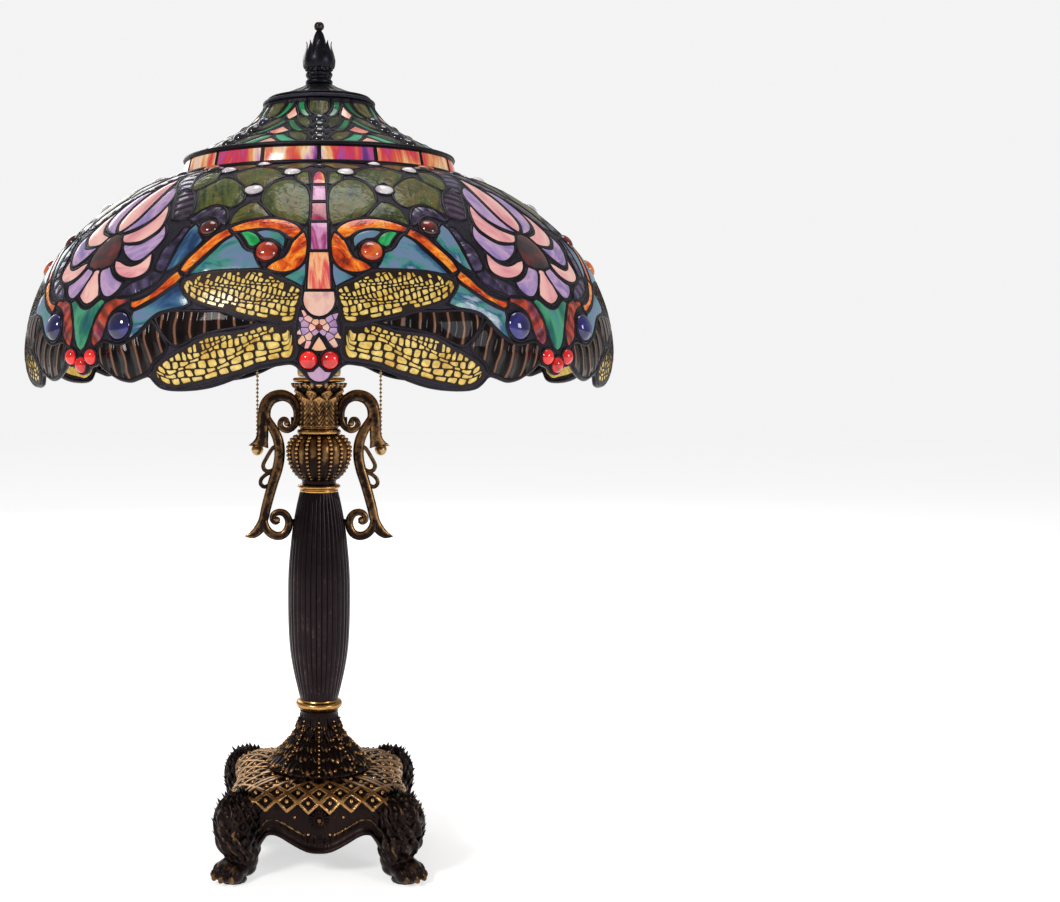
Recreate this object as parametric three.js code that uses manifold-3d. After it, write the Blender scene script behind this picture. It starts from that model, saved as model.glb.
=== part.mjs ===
// Leaded-glass table lamp: cast bronze pedestal on four paw feet, a two-light
// cluster with pull chains, and a four-fold dragonfly and blossom shade held by
// a riser rod, a vented cap and a finial.
// Millimetres, +Z up. The origin is on the floor, under the middle of the base.
// The front is -Y, where a dragonfly stands over the middle of the base.
import * as THREE from "three";
import { mergeVertices } from "three/addons/utils/BufferGeometryUtils.js";
import Module from "manifold-3d";

// ---- driving dimensions -------------------------------------------------
const GAP = 0.35; // assembly gap between neighbouring pieces
const H_TOTAL = 658; // floor to the top of the finial
const SHADE_R = 228.6; // half of the 18 inch shade
const GLASS_T = 3.2; // glass and came thickness
const PAD_T = 2.0; // felt pads under the paws
const PAW_XY = 64; // paws stand on a square of this half side
const ROD_R = 4.9; // lamp pipe
const PIPE_BORE_R = 3.2;
const CHAIN_X = 50; // pull chains hang this far each side
const CHAIN_Y = 22; // and this far behind the lamp's middle
const CHAIN_TOP_Z = 416;
const BALL_R = 4.9;
const BALL_Z = 316.5;

// Shade profile, radius against height, on the outer face.
const CROWN = [
  [42.6, 590.6], [44.6, 586.2], [54.8, 574.1], [71.9, 562.6], [84.4, 556.0], [95.3, 550.4], [105.0, 545.6],
];
const BAND = [
  [105.2, 544.9], [108.4, 531.6],
];
const SKIRT = [
  [109.0, 530.6], [121.0, 527.4], [137.0, 522.2], [151.0, 515.0], [162.5, 507.6], [173.0, 499.6],
  [184.5, 489.6], [195.5, 478.6], [205.0, 466.6], [212.5, 454.4], [219.0, 440.4], [224.0, 425.6],
  [227.2, 409.6], [228.4, 396.4], [227.6, 386.4], [225.6, 375.4], [222.8, 364.4],
];
// Lower edge of the skirt: height against angle from a dragonfly's middle.
const RIM = [
  [0.0, 371.0], [1.6, 374.5], [4.2, 384.0], [7.0, 387.4], [11.0, 385.5], [15.0, 381.0], [19.0, 374.6],
  [23.0, 370.2], [26.5, 370.4], [28.6, 377.0], [30.2, 381.6], [32.4, 380.6], [35.0, 377.4], [37.5, 377.6], [39.4, 381.4],
  [40.9, 385.4], [42.4, 382.6], [43.6, 378.6], [45.0, 377.0],
];

// ---- helpers ------------------------------------------------------------
const wasm = await Module();
wasm.setup();

// A closed geometry as a manifold solid; faces are turned outwards.
function solid(geometry, matrix) {
  const g = geometry.clone();
  g.deleteAttribute("normal");
  g.deleteAttribute("uv");
  if (matrix) g.applyMatrix4(matrix);
  const m = mergeVertices(g, 1e-3);
  const p = m.attributes.position.array;
  const tri = [];
  let vol = 0;
  for (let i = 0; i < m.index.count; i += 3) {
    const [a, b, c] = [m.index.getX(i), m.index.getX(i + 1), m.index.getX(i + 2)];
    if (a === b || b === c || a === c) continue;
    tri.push(a, b, c);
    const [A, B, C] = [a, b, c].map((k) => new THREE.Vector3(p[3 * k], p[3 * k + 1], p[3 * k + 2]));
    vol += A.dot(B.cross(C));
  }
  if (vol < 0) for (let i = 0; i < tri.length; i += 3) [tri[i + 1], tri[i + 2]] = [tri[i + 2], tri[i + 1]];
  return new wasm.Manifold(
    new wasm.Mesh({ numProp: 3, vertProperties: new Float32Array(p), triVerts: new Uint32Array(tri) }),
  );
}
function geometryOf(s) {
  const m = s.getMesh();
  const v = new Float32Array(m.numVert * 3);
  for (let i = 0; i < m.numVert; i++) v.set(m.vertProperties.subarray(i * m.numProp, i * m.numProp + 3), i * 3);
  const g = new THREE.BufferGeometry();
  g.setAttribute("position", new THREE.BufferAttribute(v, 3));
  g.setIndex(new THREE.BufferAttribute(new Uint32Array(m.triVerts), 1));
  g.computeVertexNormals();
  return g;
}
const union = (list) => list.reduce((a, b) => a.add(b));
const move = (x, y, z) => new THREE.Matrix4().makeTranslation(x, y, z);

// A lathe about +Z from a closed profile of [radius, height].
function lathe(profile, segments = 24) {
  let area = 0;
  profile.forEach(([r, z], i) => {
    const [r1, z1] = profile[(i + 1) % profile.length];
    area += r * z1 - r1 * z;
  });
  const pts = profile.map(([r, z]) => new THREE.Vector2(r, z));
  if (area < 0) pts.reverse();
  if (profile[0][0] > 0 || profile.at(-1)[0] > 0) pts.push(pts[0].clone());
  const g = new THREE.LatheGeometry(pts, segments);
  g.rotateX(Math.PI / 2);
  return g;
}
// A solid of revolution between heights, from its outer points only.
const turned = (outer, segments) => lathe([[0, outer[0][1]], ...outer, [0, outer.at(-1)[1]]], segments);
// A torus-like ring with a rounded outer face and a plain bore.
function bead(rIn, rOut, h, segments = 18, steps = 3) {
  const p = [[rIn, -h / 2]];
  for (let i = 0; i <= steps; i++) {
    const a = -Math.PI / 2 + (Math.PI * i) / steps;
    p.push([rOut - h / 2 + (h / 2) * Math.cos(a), (h / 2) * Math.sin(a)]);
  }
  p.push([rIn, h / 2]);
  return lathe(p, segments);
}
// A tube along a curve.
function tube(points, radius, sides = 6, steps = null, closed = false) {
  const curve = new THREE.CatmullRomCurve3(points.map((p) => new THREE.Vector3(...p)), closed, "centripetal");
  const s = new THREE.Shape();
  for (let i = 0; i < sides; i++) {
    const a = (2 * Math.PI * i) / sides;
    const [x, y] = [radius * Math.cos(a), radius * Math.sin(a)];
    i ? s.lineTo(x, y) : s.moveTo(x, y);
  }
  s.closePath();
  return new THREE.ExtrudeGeometry(s, { steps: steps ?? points.length * 2, bevelEnabled: false, extrudePath: curve });
}
// Linear interpolation in a table of [x, y].
function at(table, x) {
  if (x <= table[0][0]) return table[0][1];
  for (let i = 1; i < table.length; i++) {
    const [x0, y0] = table[i - 1], [x1, y1] = table[i];
    if (x <= x1) return y0 + ((y1 - y0) * (x - x0)) / (x1 - x0);
  }
  return table.at(-1)[1];
}

// ---- materials ----------------------------------------------------------
const mat = (color, roughness, metalness, extra = {}) =>
  new THREE.MeshStandardMaterial({ color, roughness, metalness, ...extra });
const BRONZE = mat(0x3a2a22, 0.42, 0.85);
const GILT = mat(0xb98a3c, 0.32, 1.0);
const BRASS = mat(0xc9a24c, 0.3, 1.0);
const STEEL = mat(0xb8b8b4, 0.35, 1.0);
const IRON = mat(0x4a4a4a, 0.7, 0.8);
const FELT = mat(0x23382a, 0.95, 0.0);
const BLACK_PLASTIC = mat(0x15130f, 0.5, 0.0);
const PORCELAIN = mat(0xece7da, 0.25, 0.0);
const LEAD = mat(0x2b2a30, 0.45, 0.8);
const GLASS_CROWN = mat(0x2f5a3c, 0.15, 0.0);
const GLASS_BAND = mat(0xc06a86, 0.15, 0.0);
const GLASS_DRAGONFLY = mat(0xd8b860, 0.18, 0.0);
const GLASS_BLOSSOM = mat(0xd79aa6, 0.18, 0.0);
const BULB = mat(0xf6f1e4, 0.2, 0.0, { transparent: true, opacity: 0.6 });

const lamp = new THREE.Group();
lamp.name = "dragonfly_table_lamp";
function add(parent, name, geometry, material, position) {
  const mesh = new THREE.Mesh(geometry, material);
  mesh.name = name;
  if (position) mesh.position.set(...position);
  parent.add(mesh);
  return mesh;
}
const group = (parent, name) => {
  const g = new THREE.Group();
  g.name = name;
  parent.add(g);
  return g;
};

// ---- base ---------------------------------------------------------------
const base = group(lamp, "base");
// Plan of the cushion: a square with pulled-in sides, at radius scale k.
function planRadius(phi, half) {
  const n = 5;
  const c = Math.abs(Math.cos(phi)), s = Math.abs(Math.sin(phi));
  return (half / Math.pow(c ** n + s ** n, 1 / n)) * (1 - 0.045 * Math.cos(4 * phi));
}
// Bottom edge of the apron, lowest in the middle of each side and at the legs.
function apronZ(phi) {
  const q = Math.abs(((phi / (Math.PI / 2)) % 1 + 1) % 1 - 0.5) * 2; // 1 at a side's middle, 0 at a corner
  return 32 - 13.5 * Math.exp(-(((1 - q) / 0.2) ** 2)) - 8 * Math.exp(-((q / 0.3) ** 2));
}
function cushion(half, profile, bottomLift, segments = 40) {
  // profile: [scale of the plan, height], top pole first, its last two points at the bottom edge
  const g = lathe([[0, profile[0][1]], ...profile, [0, profile.at(-1)[1]]], segments);
  const p = g.attributes.position;
  const zEdge = profile.at(-1)[1];
  for (let i = 0; i < p.count; i++) {
    const [x, y, z] = [p.getX(i), p.getY(i), p.getZ(i)];
    const k = Math.hypot(x, y);
    if (k < 1e-6) continue;
    const phi = Math.atan2(y, x);
    // the plan turns from round near the middle to square at the edge
    const w = Math.min(1, Math.max(0, (k - 0.45) / 0.35));
    const r = k * (half * (1 - w) + planRadius(phi, half) * w);
    p.setXYZ(i, r * Math.cos(phi), r * Math.sin(phi), Math.abs(z - zEdge) < 1e-6 && k > 0.5 ? bottomLift(phi) : z);
  }
  return solid(g);
}
const outer = cushion(
  67,
  [[0.45, 66.4], [0.66, 66.5], [0.82, 64.6], [0.93, 61.4], [1.0, 54.0], [0.985, 42.0], [0.97, 30]],
  (phi) => apronZ(phi),
);
const inner = cushion(
  61.5,
  [[0.45, 60.4], [0.68, 60.4], [0.82, 58.6], [0.93, 55.4], [0.99, 47.0], [0.985, 40.0], [0.98, -5]],
  () => -5,
  24,
);
const legs = [];
for (let k = 0; k < 4; k++) {
  const turn = new THREE.Matrix4().makeRotationZ(Math.PI / 4 + (k * Math.PI) / 2);
  const part = (geometry, pos, rotY = 0, scale = [1, 1, 1]) =>
    solid(
      geometry,
      turn.clone().multiply(
        new THREE.Matrix4().compose(
          new THREE.Vector3(...pos),
          new THREE.Quaternion().setFromEuler(new THREE.Euler(0, rotY, 0)),
          new THREE.Vector3(...scale),
        ),
      ),
    );
  // shoulder, shin, paw, along +X before the turn
  legs.push(part(new THREE.SphereGeometry(1, 9, 6), [88.5, 0, 41], -0.12, [17.5, 17, 25]));
  legs.push(part(new THREE.CylinderGeometry(12.4, 11.6, 24, 8).rotateX(Math.PI / 2), [83.5, 0, 20]));
  legs.push(part(new THREE.SphereGeometry(1, 9, 6), [91.5, 0, 8.5], 0.06, [17.0, 13.0, 10.5]));
}
const floorCut = solid(new THREE.BoxGeometry(400, 400, 60), move(0, 0, PAD_T - 30));
const rodHole = solid(new THREE.CylinderGeometry(ROD_R + GAP, ROD_R + GAP, 60, 16).rotateX(Math.PI / 2), move(0, 0, 70));
const BUSH_Z = 44;
const bushHole = solid(new THREE.CylinderGeometry(5.2, 5.2, 30, 16), move(0, 62, BUSH_Z));
add(
  base, "base_casting",
  geometryOf(union([outer.subtract(inner), ...legs]).subtract(floorCut).subtract(rodHole).subtract(bushHole)),
  BRONZE,
);
const PAD_R = 10;
for (const [i, [sx, sy]] of [[-1, -1], [1, -1], [1, 1], [-1, 1]].entries())
  add(
    base, `paw_pad_${i + 1}`,
    new THREE.CylinderGeometry(PAD_R, PAD_R, PAD_T - GAP, 12).rotateX(Math.PI / 2), FELT,
    [sx * PAW_XY, sy * PAW_XY, (PAD_T - GAP) / 2],
  );
// Weight, washer and nut inside the hollow base, on the lamp pipe.
const ringOf = (rIn, rOut, z0, z1, n = 24) => lathe([[rIn, z0], [rOut, z0], [rOut, z1], [rIn, z1]], n);
add(base, "ballast_disc", ringOf(ROD_R + GAP, 42, 0, 12, 20), IRON, [0, 0, 47.6]);
add(base, "rod_washer", ringOf(ROD_R + GAP, 13, 0, 1.6, 16), STEEL, [0, 0, 45.6]);
add(
  base, "rod_nut",
  geometryOf(
    solid(new THREE.CylinderGeometry(11, 11, 7, 6).rotateX(Math.PI / 2), move(0, 0, 3.5)).subtract(
      solid(new THREE.CylinderGeometry(ROD_R + GAP, ROD_R + GAP, 20, 16).rotateX(Math.PI / 2)),
    ),
  ),
  STEEL, [0, 0, 38.2],
);
// Flanged bushing in the back wall, where a cord would come in.
add(
  base, "cord_bushing",
  geometryOf(
    union([
      solid(new THREE.CylinderGeometry(4.7, 4.7, 14, 16), move(0, 64.5, BUSH_Z)),
      solid(new THREE.CylinderGeometry(7.0, 7.0, 2.2, 16), move(0, 70.2, BUSH_Z)),
    ]).subtract(solid(new THREE.CylinderGeometry(3.3, 3.3, 40, 12), move(0, 64, BUSH_Z))),
  ),
  BLACK_PLASTIC,
);

// ---- pedestal -----------------------------------------------------------
const pedestal = group(lamp, "pedestal");
const pipeHole = ROD_R + GAP;
// A turned piece with a bore for the lamp pipe.
const bored = (outerPoints, n = 20) => lathe([[pipeHole, outerPoints[0][1]], ...outerPoints, [pipeHole, outerPoints.at(-1)[1]]], n);
add(pedestal, "leaf_cup", bored([[38, 0], [40, 2.2], [35.4, 7.4], [29.6, 13.8], [23.4, 20.4], [18.4, 27.0], [15.6, 34.6], [14.6, 40.0], [15.2, 45.0]]), BRONZE, [0, 0, 67.0]);
add(pedestal, "lower_ring", bead(pipeHole, 18.3, 8.4), GILT, [0, 0, 116.6]);
add(
  pedestal, "fluted_column",
  bored([
    [15.2, 0], [17.2, 8], [20.4, 22], [22.9, 37], [24.2, 54], [24.7, 76], [24.4, 100], [22.6, 122], [20.6, 138], [18.0, 152], [15.4, 163.4],
  ]),
  BRONZE, [0, 0, 121.2],
);
add(pedestal, "middle_ring", bead(pipeHole, 16.2, 6.0), GILT, [0, 0, 287.9]);
add(
  pedestal, "beaded_urn",
  bored([[13.4, 0], [14.2, 3.2], [19.6, 8.6], [23.2, 15.6], [24.8, 24.0], [24.0, 31.2], [20.6, 36.0], [16.6, 38.4]]),
  BRONZE, [0, 0, 291.2],
);
add(pedestal, "upper_ring", bead(pipeHole, 17.2, 4.4), GILT, [0, 0, 332.2]);
add(
  pedestal, "leaf_neck",
  bored([[15.2, 0], [14.0, 3.0], [13.2, 10], [13.0, 20], [13.6, 27], [15.6, 31.6], [20.8, 34.4], [21.6, 36.4]]),
  BRONZE, [0, 0, 334.7],
);
add(pedestal, "neck_dish", bored([[12, 0], [19.2, 1.2], [20.2, 3.4], [17.6, 3.8]]), BRASS, [0, 0, 371.5]);

// Scroll handles: rods bent in the XZ plane, written as [x, z].
const scrollCurl = [[22.7, 341.4], [25.9, 343.9], [30.1, 340.6], [29.1, 335.4], [23.9, 333.6]];
const scrollLoop = [
  [23.9, 333.6], [18.7, 337.0], [17.0, 344.6], [17.4, 352.4], [20.6, 359.4], [26.2, 363.4], [32.0, 363.8], [38.3, 361.8],
  [43.0, 356.6], [44.6, 349.4], [43.0, 343.0], [38.2, 334.6], [33.2, 326.6], [30.0, 318.6], [29.2, 311.4], [31.2, 302.6],
  [35.2, 292.8], [39.2, 281.8], [42.6, 270.6], [45.4, 260.4], [49.4, 252.8],
];
const scrollTip = [[49.4, 252.8], [53.6, 250.2], [57.8, 250.8]];
const scrollLeaf = [[44.6, 349.4], [46.6, 340.4], [45.8, 332.0], [47.6, 325.6], [51.2, 322.8]];
const scrollVolute = [
  [43.2, 262.0], [41.6, 254.6], [37.0, 250.0], [31.8, 248.8], [26.8, 251.4], [24.0, 257.2], [24.2, 263.2], [27.6, 267.6],
  [32.4, 269.0], [36.4, 266.6], [35.0, 263.0],
];
const scrollFrond1 = [[31.4, 320.6], [36.0, 318.6], [40.6, 310.4], [43.0, 305.6], [41.6, 301.8], [37.6, 301.0], [32.8, 302.2]];
const scrollFrond2 = [[35.6, 300.0], [41.0, 297.8], [45.6, 293.8], [45.0, 290.0], [41.0, 289.2], [37.2, 292.0]];
const scrollBoss = [[24.2, 260.0], [21.2, 260.4]];
function scroll(side) {
  const path = (pts) => pts.map(([x, z]) => [side * x, 0, z]);
  return geometryOf(
    union([
      solid(tube(path(scrollCurl), 2.3, 5, 6)),
      solid(tube(path(scrollLoop), 3.3, 6, 23)),
      solid(tube(path(scrollTip), 2.5, 5, 3)),
      solid(tube(path(scrollLeaf), 3.0, 5, 6)),
      solid(tube(path(scrollVolute), 2.4, 5, 14)),
      solid(tube(path(scrollFrond1), 1.4, 4, 8)),
      solid(tube(path(scrollFrond2), 1.4, 4, 7)),
      solid(new THREE.SphereGeometry(2.9, 7, 5), move(side * 22.7, 0, 341.2)),
      solid(new THREE.CylinderGeometry(2.6, 2.6, 4.0, 8).rotateZ(Math.PI / 2), move(side * 23.8, 0, 260.2)),
    ]),
  );
}
add(pedestal, "scroll_left", scroll(-1), BRONZE);
add(pedestal, "scroll_right", scroll(1), BRONZE);

// Lamp pipe from the nut in the base to the cluster, hollow for the wiring.
add(pedestal, "lamp_pipe", ringOf(PIPE_BORE_R, ROD_R, 0, 350, 16), STEEL, [0, 0, 36]);

// ---- two-light cluster --------------------------------------------------
const cluster = group(lamp, "cluster");
const clusterBody = [[0, 376.0], [14.6, 376.0], [17.0, 378.6], [17.0, 398.0], [13.0, 402.0], [13.0, 409.5], [0, 409.5]];
const pipeSocket = solid(lathe([[0, 370], [pipeHole, 370], [pipeHole, 386.4], [0, 386.4]], 16));
const riserSocket = solid(lathe([[0, 399], [ROD_R + GAP, 399], [ROD_R + GAP, 420], [0, 420]], 16));
add(cluster, "cluster_body", geometryOf(solid(lathe(clusterBody, 20)).subtract(pipeSocket).subtract(riserSocket)), BRASS);

const SOCKET_TILT = (52 * Math.PI) / 180; // from vertical
const SOCKET_AT = [17.8, 399.6]; // x and z where a socket's own axis starts
for (const [side, word] of [[-1, "left"], [1, "right"]]) {
  // each light's own frame: its +Z runs out along the bulb
  const light = group(cluster, `light_${word}`);
  light.position.set(side * SOCKET_AT[0], 0, SOCKET_AT[1]);
  light.rotation.set(0, side * SOCKET_TILT, 0);
  add(light, `socket_cap_${word}`, turned([[5.0, 3.6], [5.0, 8.0], [14.5, 12.0], [17.3, 17.0], [17.3, 20.0]], 16), BRASS);
  add(light, `socket_shell_${word}`, ringOf(15.6, 16.8, 20.4, 56, 16), BRASS);
  add(
    light, `socket_core_${word}`,
    lathe([[0, 20.8], [15.2, 20.8], [15.2, 54], [13.6, 54], [13.6, 30], [0, 30]], 16), PORCELAIN,
  );
  add(light, `bulb_base_${word}`, turned([[4.0, 31.0], [6.0, 33.0], [12.9, 36.5], [12.9, 58.0], [11.8, 61.0]], 16), STEEL);
  add(
    light, `bulb_glass_${word}`,
    turned([[11.6, 61.4], [14.5, 68], [20.5, 78], [26.5, 89], [29.6, 101], [29.2, 112], [25.2, 122], [17.5, 130], [8.5, 134.2], [3.0, 135.2]], 16),
    BULB,
  );
  // bell mouth that the chain runs out of
  const gx = side * CHAIN_X;
  const guide = group(cluster, `guide_${word}`);
  guide.position.set(gx, CHAIN_Y, CHAIN_TOP_Z);
  add(guide, `chain_guide_${word}`, lathe([[2.0, 0.6], [4.0, 0.6], [3.2, 3.0], [3.2, 8.6], [2.0, 8.6]], 12), BRASS);
}

// ---- pull chains --------------------------------------------------------
const chains = group(lamp, "pull_chains");
for (const [side, word] of [[-1, "left"], [1, "right"]]) {
  const pull = group(chains, `pull_${word}`);
  pull.position.set(side * CHAIN_X, CHAIN_Y, 0);
  add(
    pull, `chain_coupling_${word}`,
    new THREE.CylinderGeometry(1.5, 1.5, 10, 10).rotateX(Math.PI / 2), BRASS, [0, 0, CHAIN_TOP_Z + 3.2],
  );
  add(
    pull, `pull_chain_${word}`,
    new THREE.CylinderGeometry(1.2, 1.2, CHAIN_TOP_Z - 3.0 - (BALL_Z + BALL_R + GAP), 8).rotateX(Math.PI / 2), BRASS,
    [0, 0, (CHAIN_TOP_Z - 3.0 + BALL_Z + BALL_R + GAP) / 2],
  );
  add(pull, `pull_ball_${word}`, new THREE.SphereGeometry(BALL_R, 14, 10).rotateX(Math.PI / 2), BRASS, [0, 0, BALL_Z]);
}

// ---- riser, seat, cap and finial ---------------------------------------
const top = group(lamp, "shade_fixings");
add(top, "riser_rod", new THREE.CylinderGeometry(ROD_R, ROD_R, 216.6, 16).rotateX(Math.PI / 2), STEEL, [0, 0, 399.4 + 108.3]);
add(top, "shade_seat", ringOf(ROD_R + GAP, 17, 0, 3.0, 16), BRASS, [0, 0, 584.6]);

const shade = group(lamp, "shade");
// Spider plate across the crown's opening, with four vents.
const plate = new THREE.Shape();
plate.absarc(0, 0, 38.6, 0, 2 * Math.PI);
for (let k = 0; k < 4; k++) {
  const hole = new THREE.Path();
  const a = Math.PI / 4 + (k * Math.PI) / 2;
  hole.absellipse(28 * Math.cos(a), 28 * Math.sin(a), 8, 8, 0, 2 * Math.PI, true);
  plate.holes.push(hole);
}
const boreHole = new THREE.Path();
boreHole.absarc(0, 0, ROD_R + GAP, 0, 2 * Math.PI, true);
plate.holes.push(boreHole);
add(
  shade, "spider_plate",
  geometryOf(solid(new THREE.ExtrudeGeometry(plate, { depth: 2.0, bevelEnabled: false, curveSegments: 5 }))), BRASS, [0, 0, 588.0],
);
add(shade, "top_ring", lathe([[39.0, 587.4], [40.2, 587.4], [40.2, 590.4], [44.0, 590.4], [44.6, 592.0], [42.6, 594.0], [39.0, 594.0]], 24), LEAD);
add(
  shade, "heat_cap",
  lathe([
    [ROD_R + GAP, 604.4], [11.4, 604.4], [22.4, 598.2], [31, 595.2], [40.6, 594.4],
    [41.0, 595.2], [39.0, 596.0], [31.6, 598.4], [23.2, 601.6], [16.6, 604.6], [11.6, 607.4], [ROD_R + GAP, 607.4],
  ], 24),
  BRONZE,
);
add(
  shade, "finial",
  geometryOf(
    solid(
      turned([
        [10.2, 607.8], [10.8, 610.4], [9.4, 613.0], [10.3, 616.0], [9.6, 619.0], [11.4, 623.0], [11.6, 627.6], [10.6, 634.0],
        [9.8, 642.0], [6.0, 642.6], [3.6, 648.6], [2.4, 650.4], [3.8, 652.6], [4.0, 654.4], [2.9, 657.2], [1.0, H_TOTAL],
      ], 16),
    ).subtract(solid(lathe([[0, 600], [ROD_R + GAP, 600], [ROD_R + GAP, 617.4], [0, 617.4]], 16))),
  ),
  BRONZE,
);

// A ring of the shade's wall between two points of a profile.
function shellRing(profile, segments, lastInside = null) {
  const outline = profile.map(([r, z]) => [r, z]);
  const insideLine = profile.map(([r, z], i) => {
    const [r0, z0] = profile[Math.max(0, i - 1)], [r1, z1] = profile[Math.min(profile.length - 1, i + 1)];
    const l = Math.hypot(r1 - r0, z1 - z0);
    return [r + ((z1 - z0) / l) * GLASS_T, z - ((r1 - r0) / l) * GLASS_T];
  });
  if (lastInside) insideLine[insideLine.length - 1] = lastInside;
  return lathe([...outline, ...insideLine.reverse()], segments);
}
add(shade, "crown_glass", shellRing([[43.8, 590.0], ...CROWN.slice(1, -1), [105.0, 545.3]], 28, [98.4, 545.3]), GLASS_CROWN);
add(shade, "band_glass", shellRing(BAND, 28), GLASS_BAND);

// Skirt: eight sectors, four with a dragonfly and four with a blossom.
const skirtLength = SKIRT.reduce((acc, p, i) => {
  acc.push(i ? acc[i - 1] + Math.hypot(p[0] - SKIRT[i - 1][0], p[1] - SKIRT[i - 1][1]) : 0);
  return acc;
}, []);
function onSkirt(s) {
  const i = Math.max(1, skirtLength.findIndex((l) => l >= s));
  const f = (s - skirtLength[i - 1]) / (skirtLength[i] - skirtLength[i - 1]);
  const [r0, z0] = SKIRT[i - 1], [r1, z1] = SKIRT[i];
  const l = Math.hypot(r1 - r0, z1 - z0);
  return { r: r0 + f * (r1 - r0), z: z0 + f * (z1 - z0), nr: -(z1 - z0) / l, nz: (r1 - r0) / l };
}
function arcAtHeight(z) {
  for (let i = 1; i < SKIRT.length; i++)
    if (SKIRT[i][1] <= z) return skirtLength[i - 1] + ((SKIRT[i - 1][1] - z) / (SKIRT[i - 1][1] - SKIRT[i][1])) * (skirtLength[i] - skirtLength[i - 1]);
  return skirtLength.at(-1);
}
function skirtSector(middleDeg, dragonfly) {
  const half = 22.5 - (GAP / 2 / 225) * (180 / Math.PI);
  const stations = dragonfly ? [0, 2.0, 4.6, 9.5, 16.5, 22.5] : [0, 4.1, 6.8, 12.0, 17.0, 22.5];
  const columns = 10, rows = 7;
  const g = new THREE.BoxGeometry(1, 1, 1, columns, 1, rows);
  const p = g.attributes.position;
  for (let i = 0; i < p.count; i++) {
    const u = p.getX(i) * 2; // -1..1 across
    const v = p.getY(i) + 0.5; // 0 inside, 1 outside
    const w = 0.5 - p.getZ(i); // 0 at the top, 1 at the rim
    const local = Math.sign(u) * Math.min(half, stations[Math.round(Math.abs(u) * 5)]);
    const fromDragonfly = dragonfly ? Math.abs(local) : 45 - Math.abs(local);
    const s = 0.5 + w * (arcAtHeight(at(RIM, fromDragonfly)) - 0.5);
    const q = onSkirt(s);
    const r = q.r - (1 - v) * GLASS_T * q.nr;
    const z = q.z - (1 - v) * GLASS_T * q.nz;
    const a = ((-90 + middleDeg + local) * Math.PI) / 180;
    p.setXYZ(i, r * Math.cos(a), r * Math.sin(a), z);
  }
  return g;
}
for (let k = 0; k < 4; k++) {
  add(shade, `dragonfly_panel_${k + 1}`, geometryOf(solid(skirtSector(k * 90, true))), GLASS_DRAGONFLY);
  add(shade, `blossom_panel_${k + 1}`, geometryOf(solid(skirtSector(45 + k * 90, false))), GLASS_BLOSSOM);
}

export default lamp;
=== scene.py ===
# Leaded-glass dragonfly and blossom table lamp: the visual model around the CAD frame.
# Metres, +Z up, front -Y. Shapes are written in millimetres and scaled once, when a mesh is made.
import math
import random

import bpy
import numpy as np
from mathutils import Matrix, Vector
from mathutils.geometry import delaunay_2d_cdt


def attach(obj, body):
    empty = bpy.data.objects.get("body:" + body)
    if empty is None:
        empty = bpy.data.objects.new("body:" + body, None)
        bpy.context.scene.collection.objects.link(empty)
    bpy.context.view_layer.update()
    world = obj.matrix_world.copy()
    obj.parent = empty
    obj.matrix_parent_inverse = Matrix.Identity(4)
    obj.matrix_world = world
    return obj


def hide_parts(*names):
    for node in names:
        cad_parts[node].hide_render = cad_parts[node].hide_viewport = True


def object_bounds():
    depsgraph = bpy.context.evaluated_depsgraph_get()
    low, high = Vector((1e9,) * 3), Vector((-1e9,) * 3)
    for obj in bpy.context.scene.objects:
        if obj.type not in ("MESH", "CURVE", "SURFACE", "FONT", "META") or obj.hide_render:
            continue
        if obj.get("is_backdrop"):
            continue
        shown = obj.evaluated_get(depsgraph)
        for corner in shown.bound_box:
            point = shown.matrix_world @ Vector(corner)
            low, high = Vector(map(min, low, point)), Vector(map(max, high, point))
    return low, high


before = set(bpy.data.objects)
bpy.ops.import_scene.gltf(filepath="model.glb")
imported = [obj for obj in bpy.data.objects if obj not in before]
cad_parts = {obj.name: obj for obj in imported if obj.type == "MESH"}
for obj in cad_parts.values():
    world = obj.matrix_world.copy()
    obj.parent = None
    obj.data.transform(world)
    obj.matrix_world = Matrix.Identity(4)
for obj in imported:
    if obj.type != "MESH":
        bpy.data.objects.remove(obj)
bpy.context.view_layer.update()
MM = 0.001
rng = random.Random(11)
nrng = np.random.default_rng(5)

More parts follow.
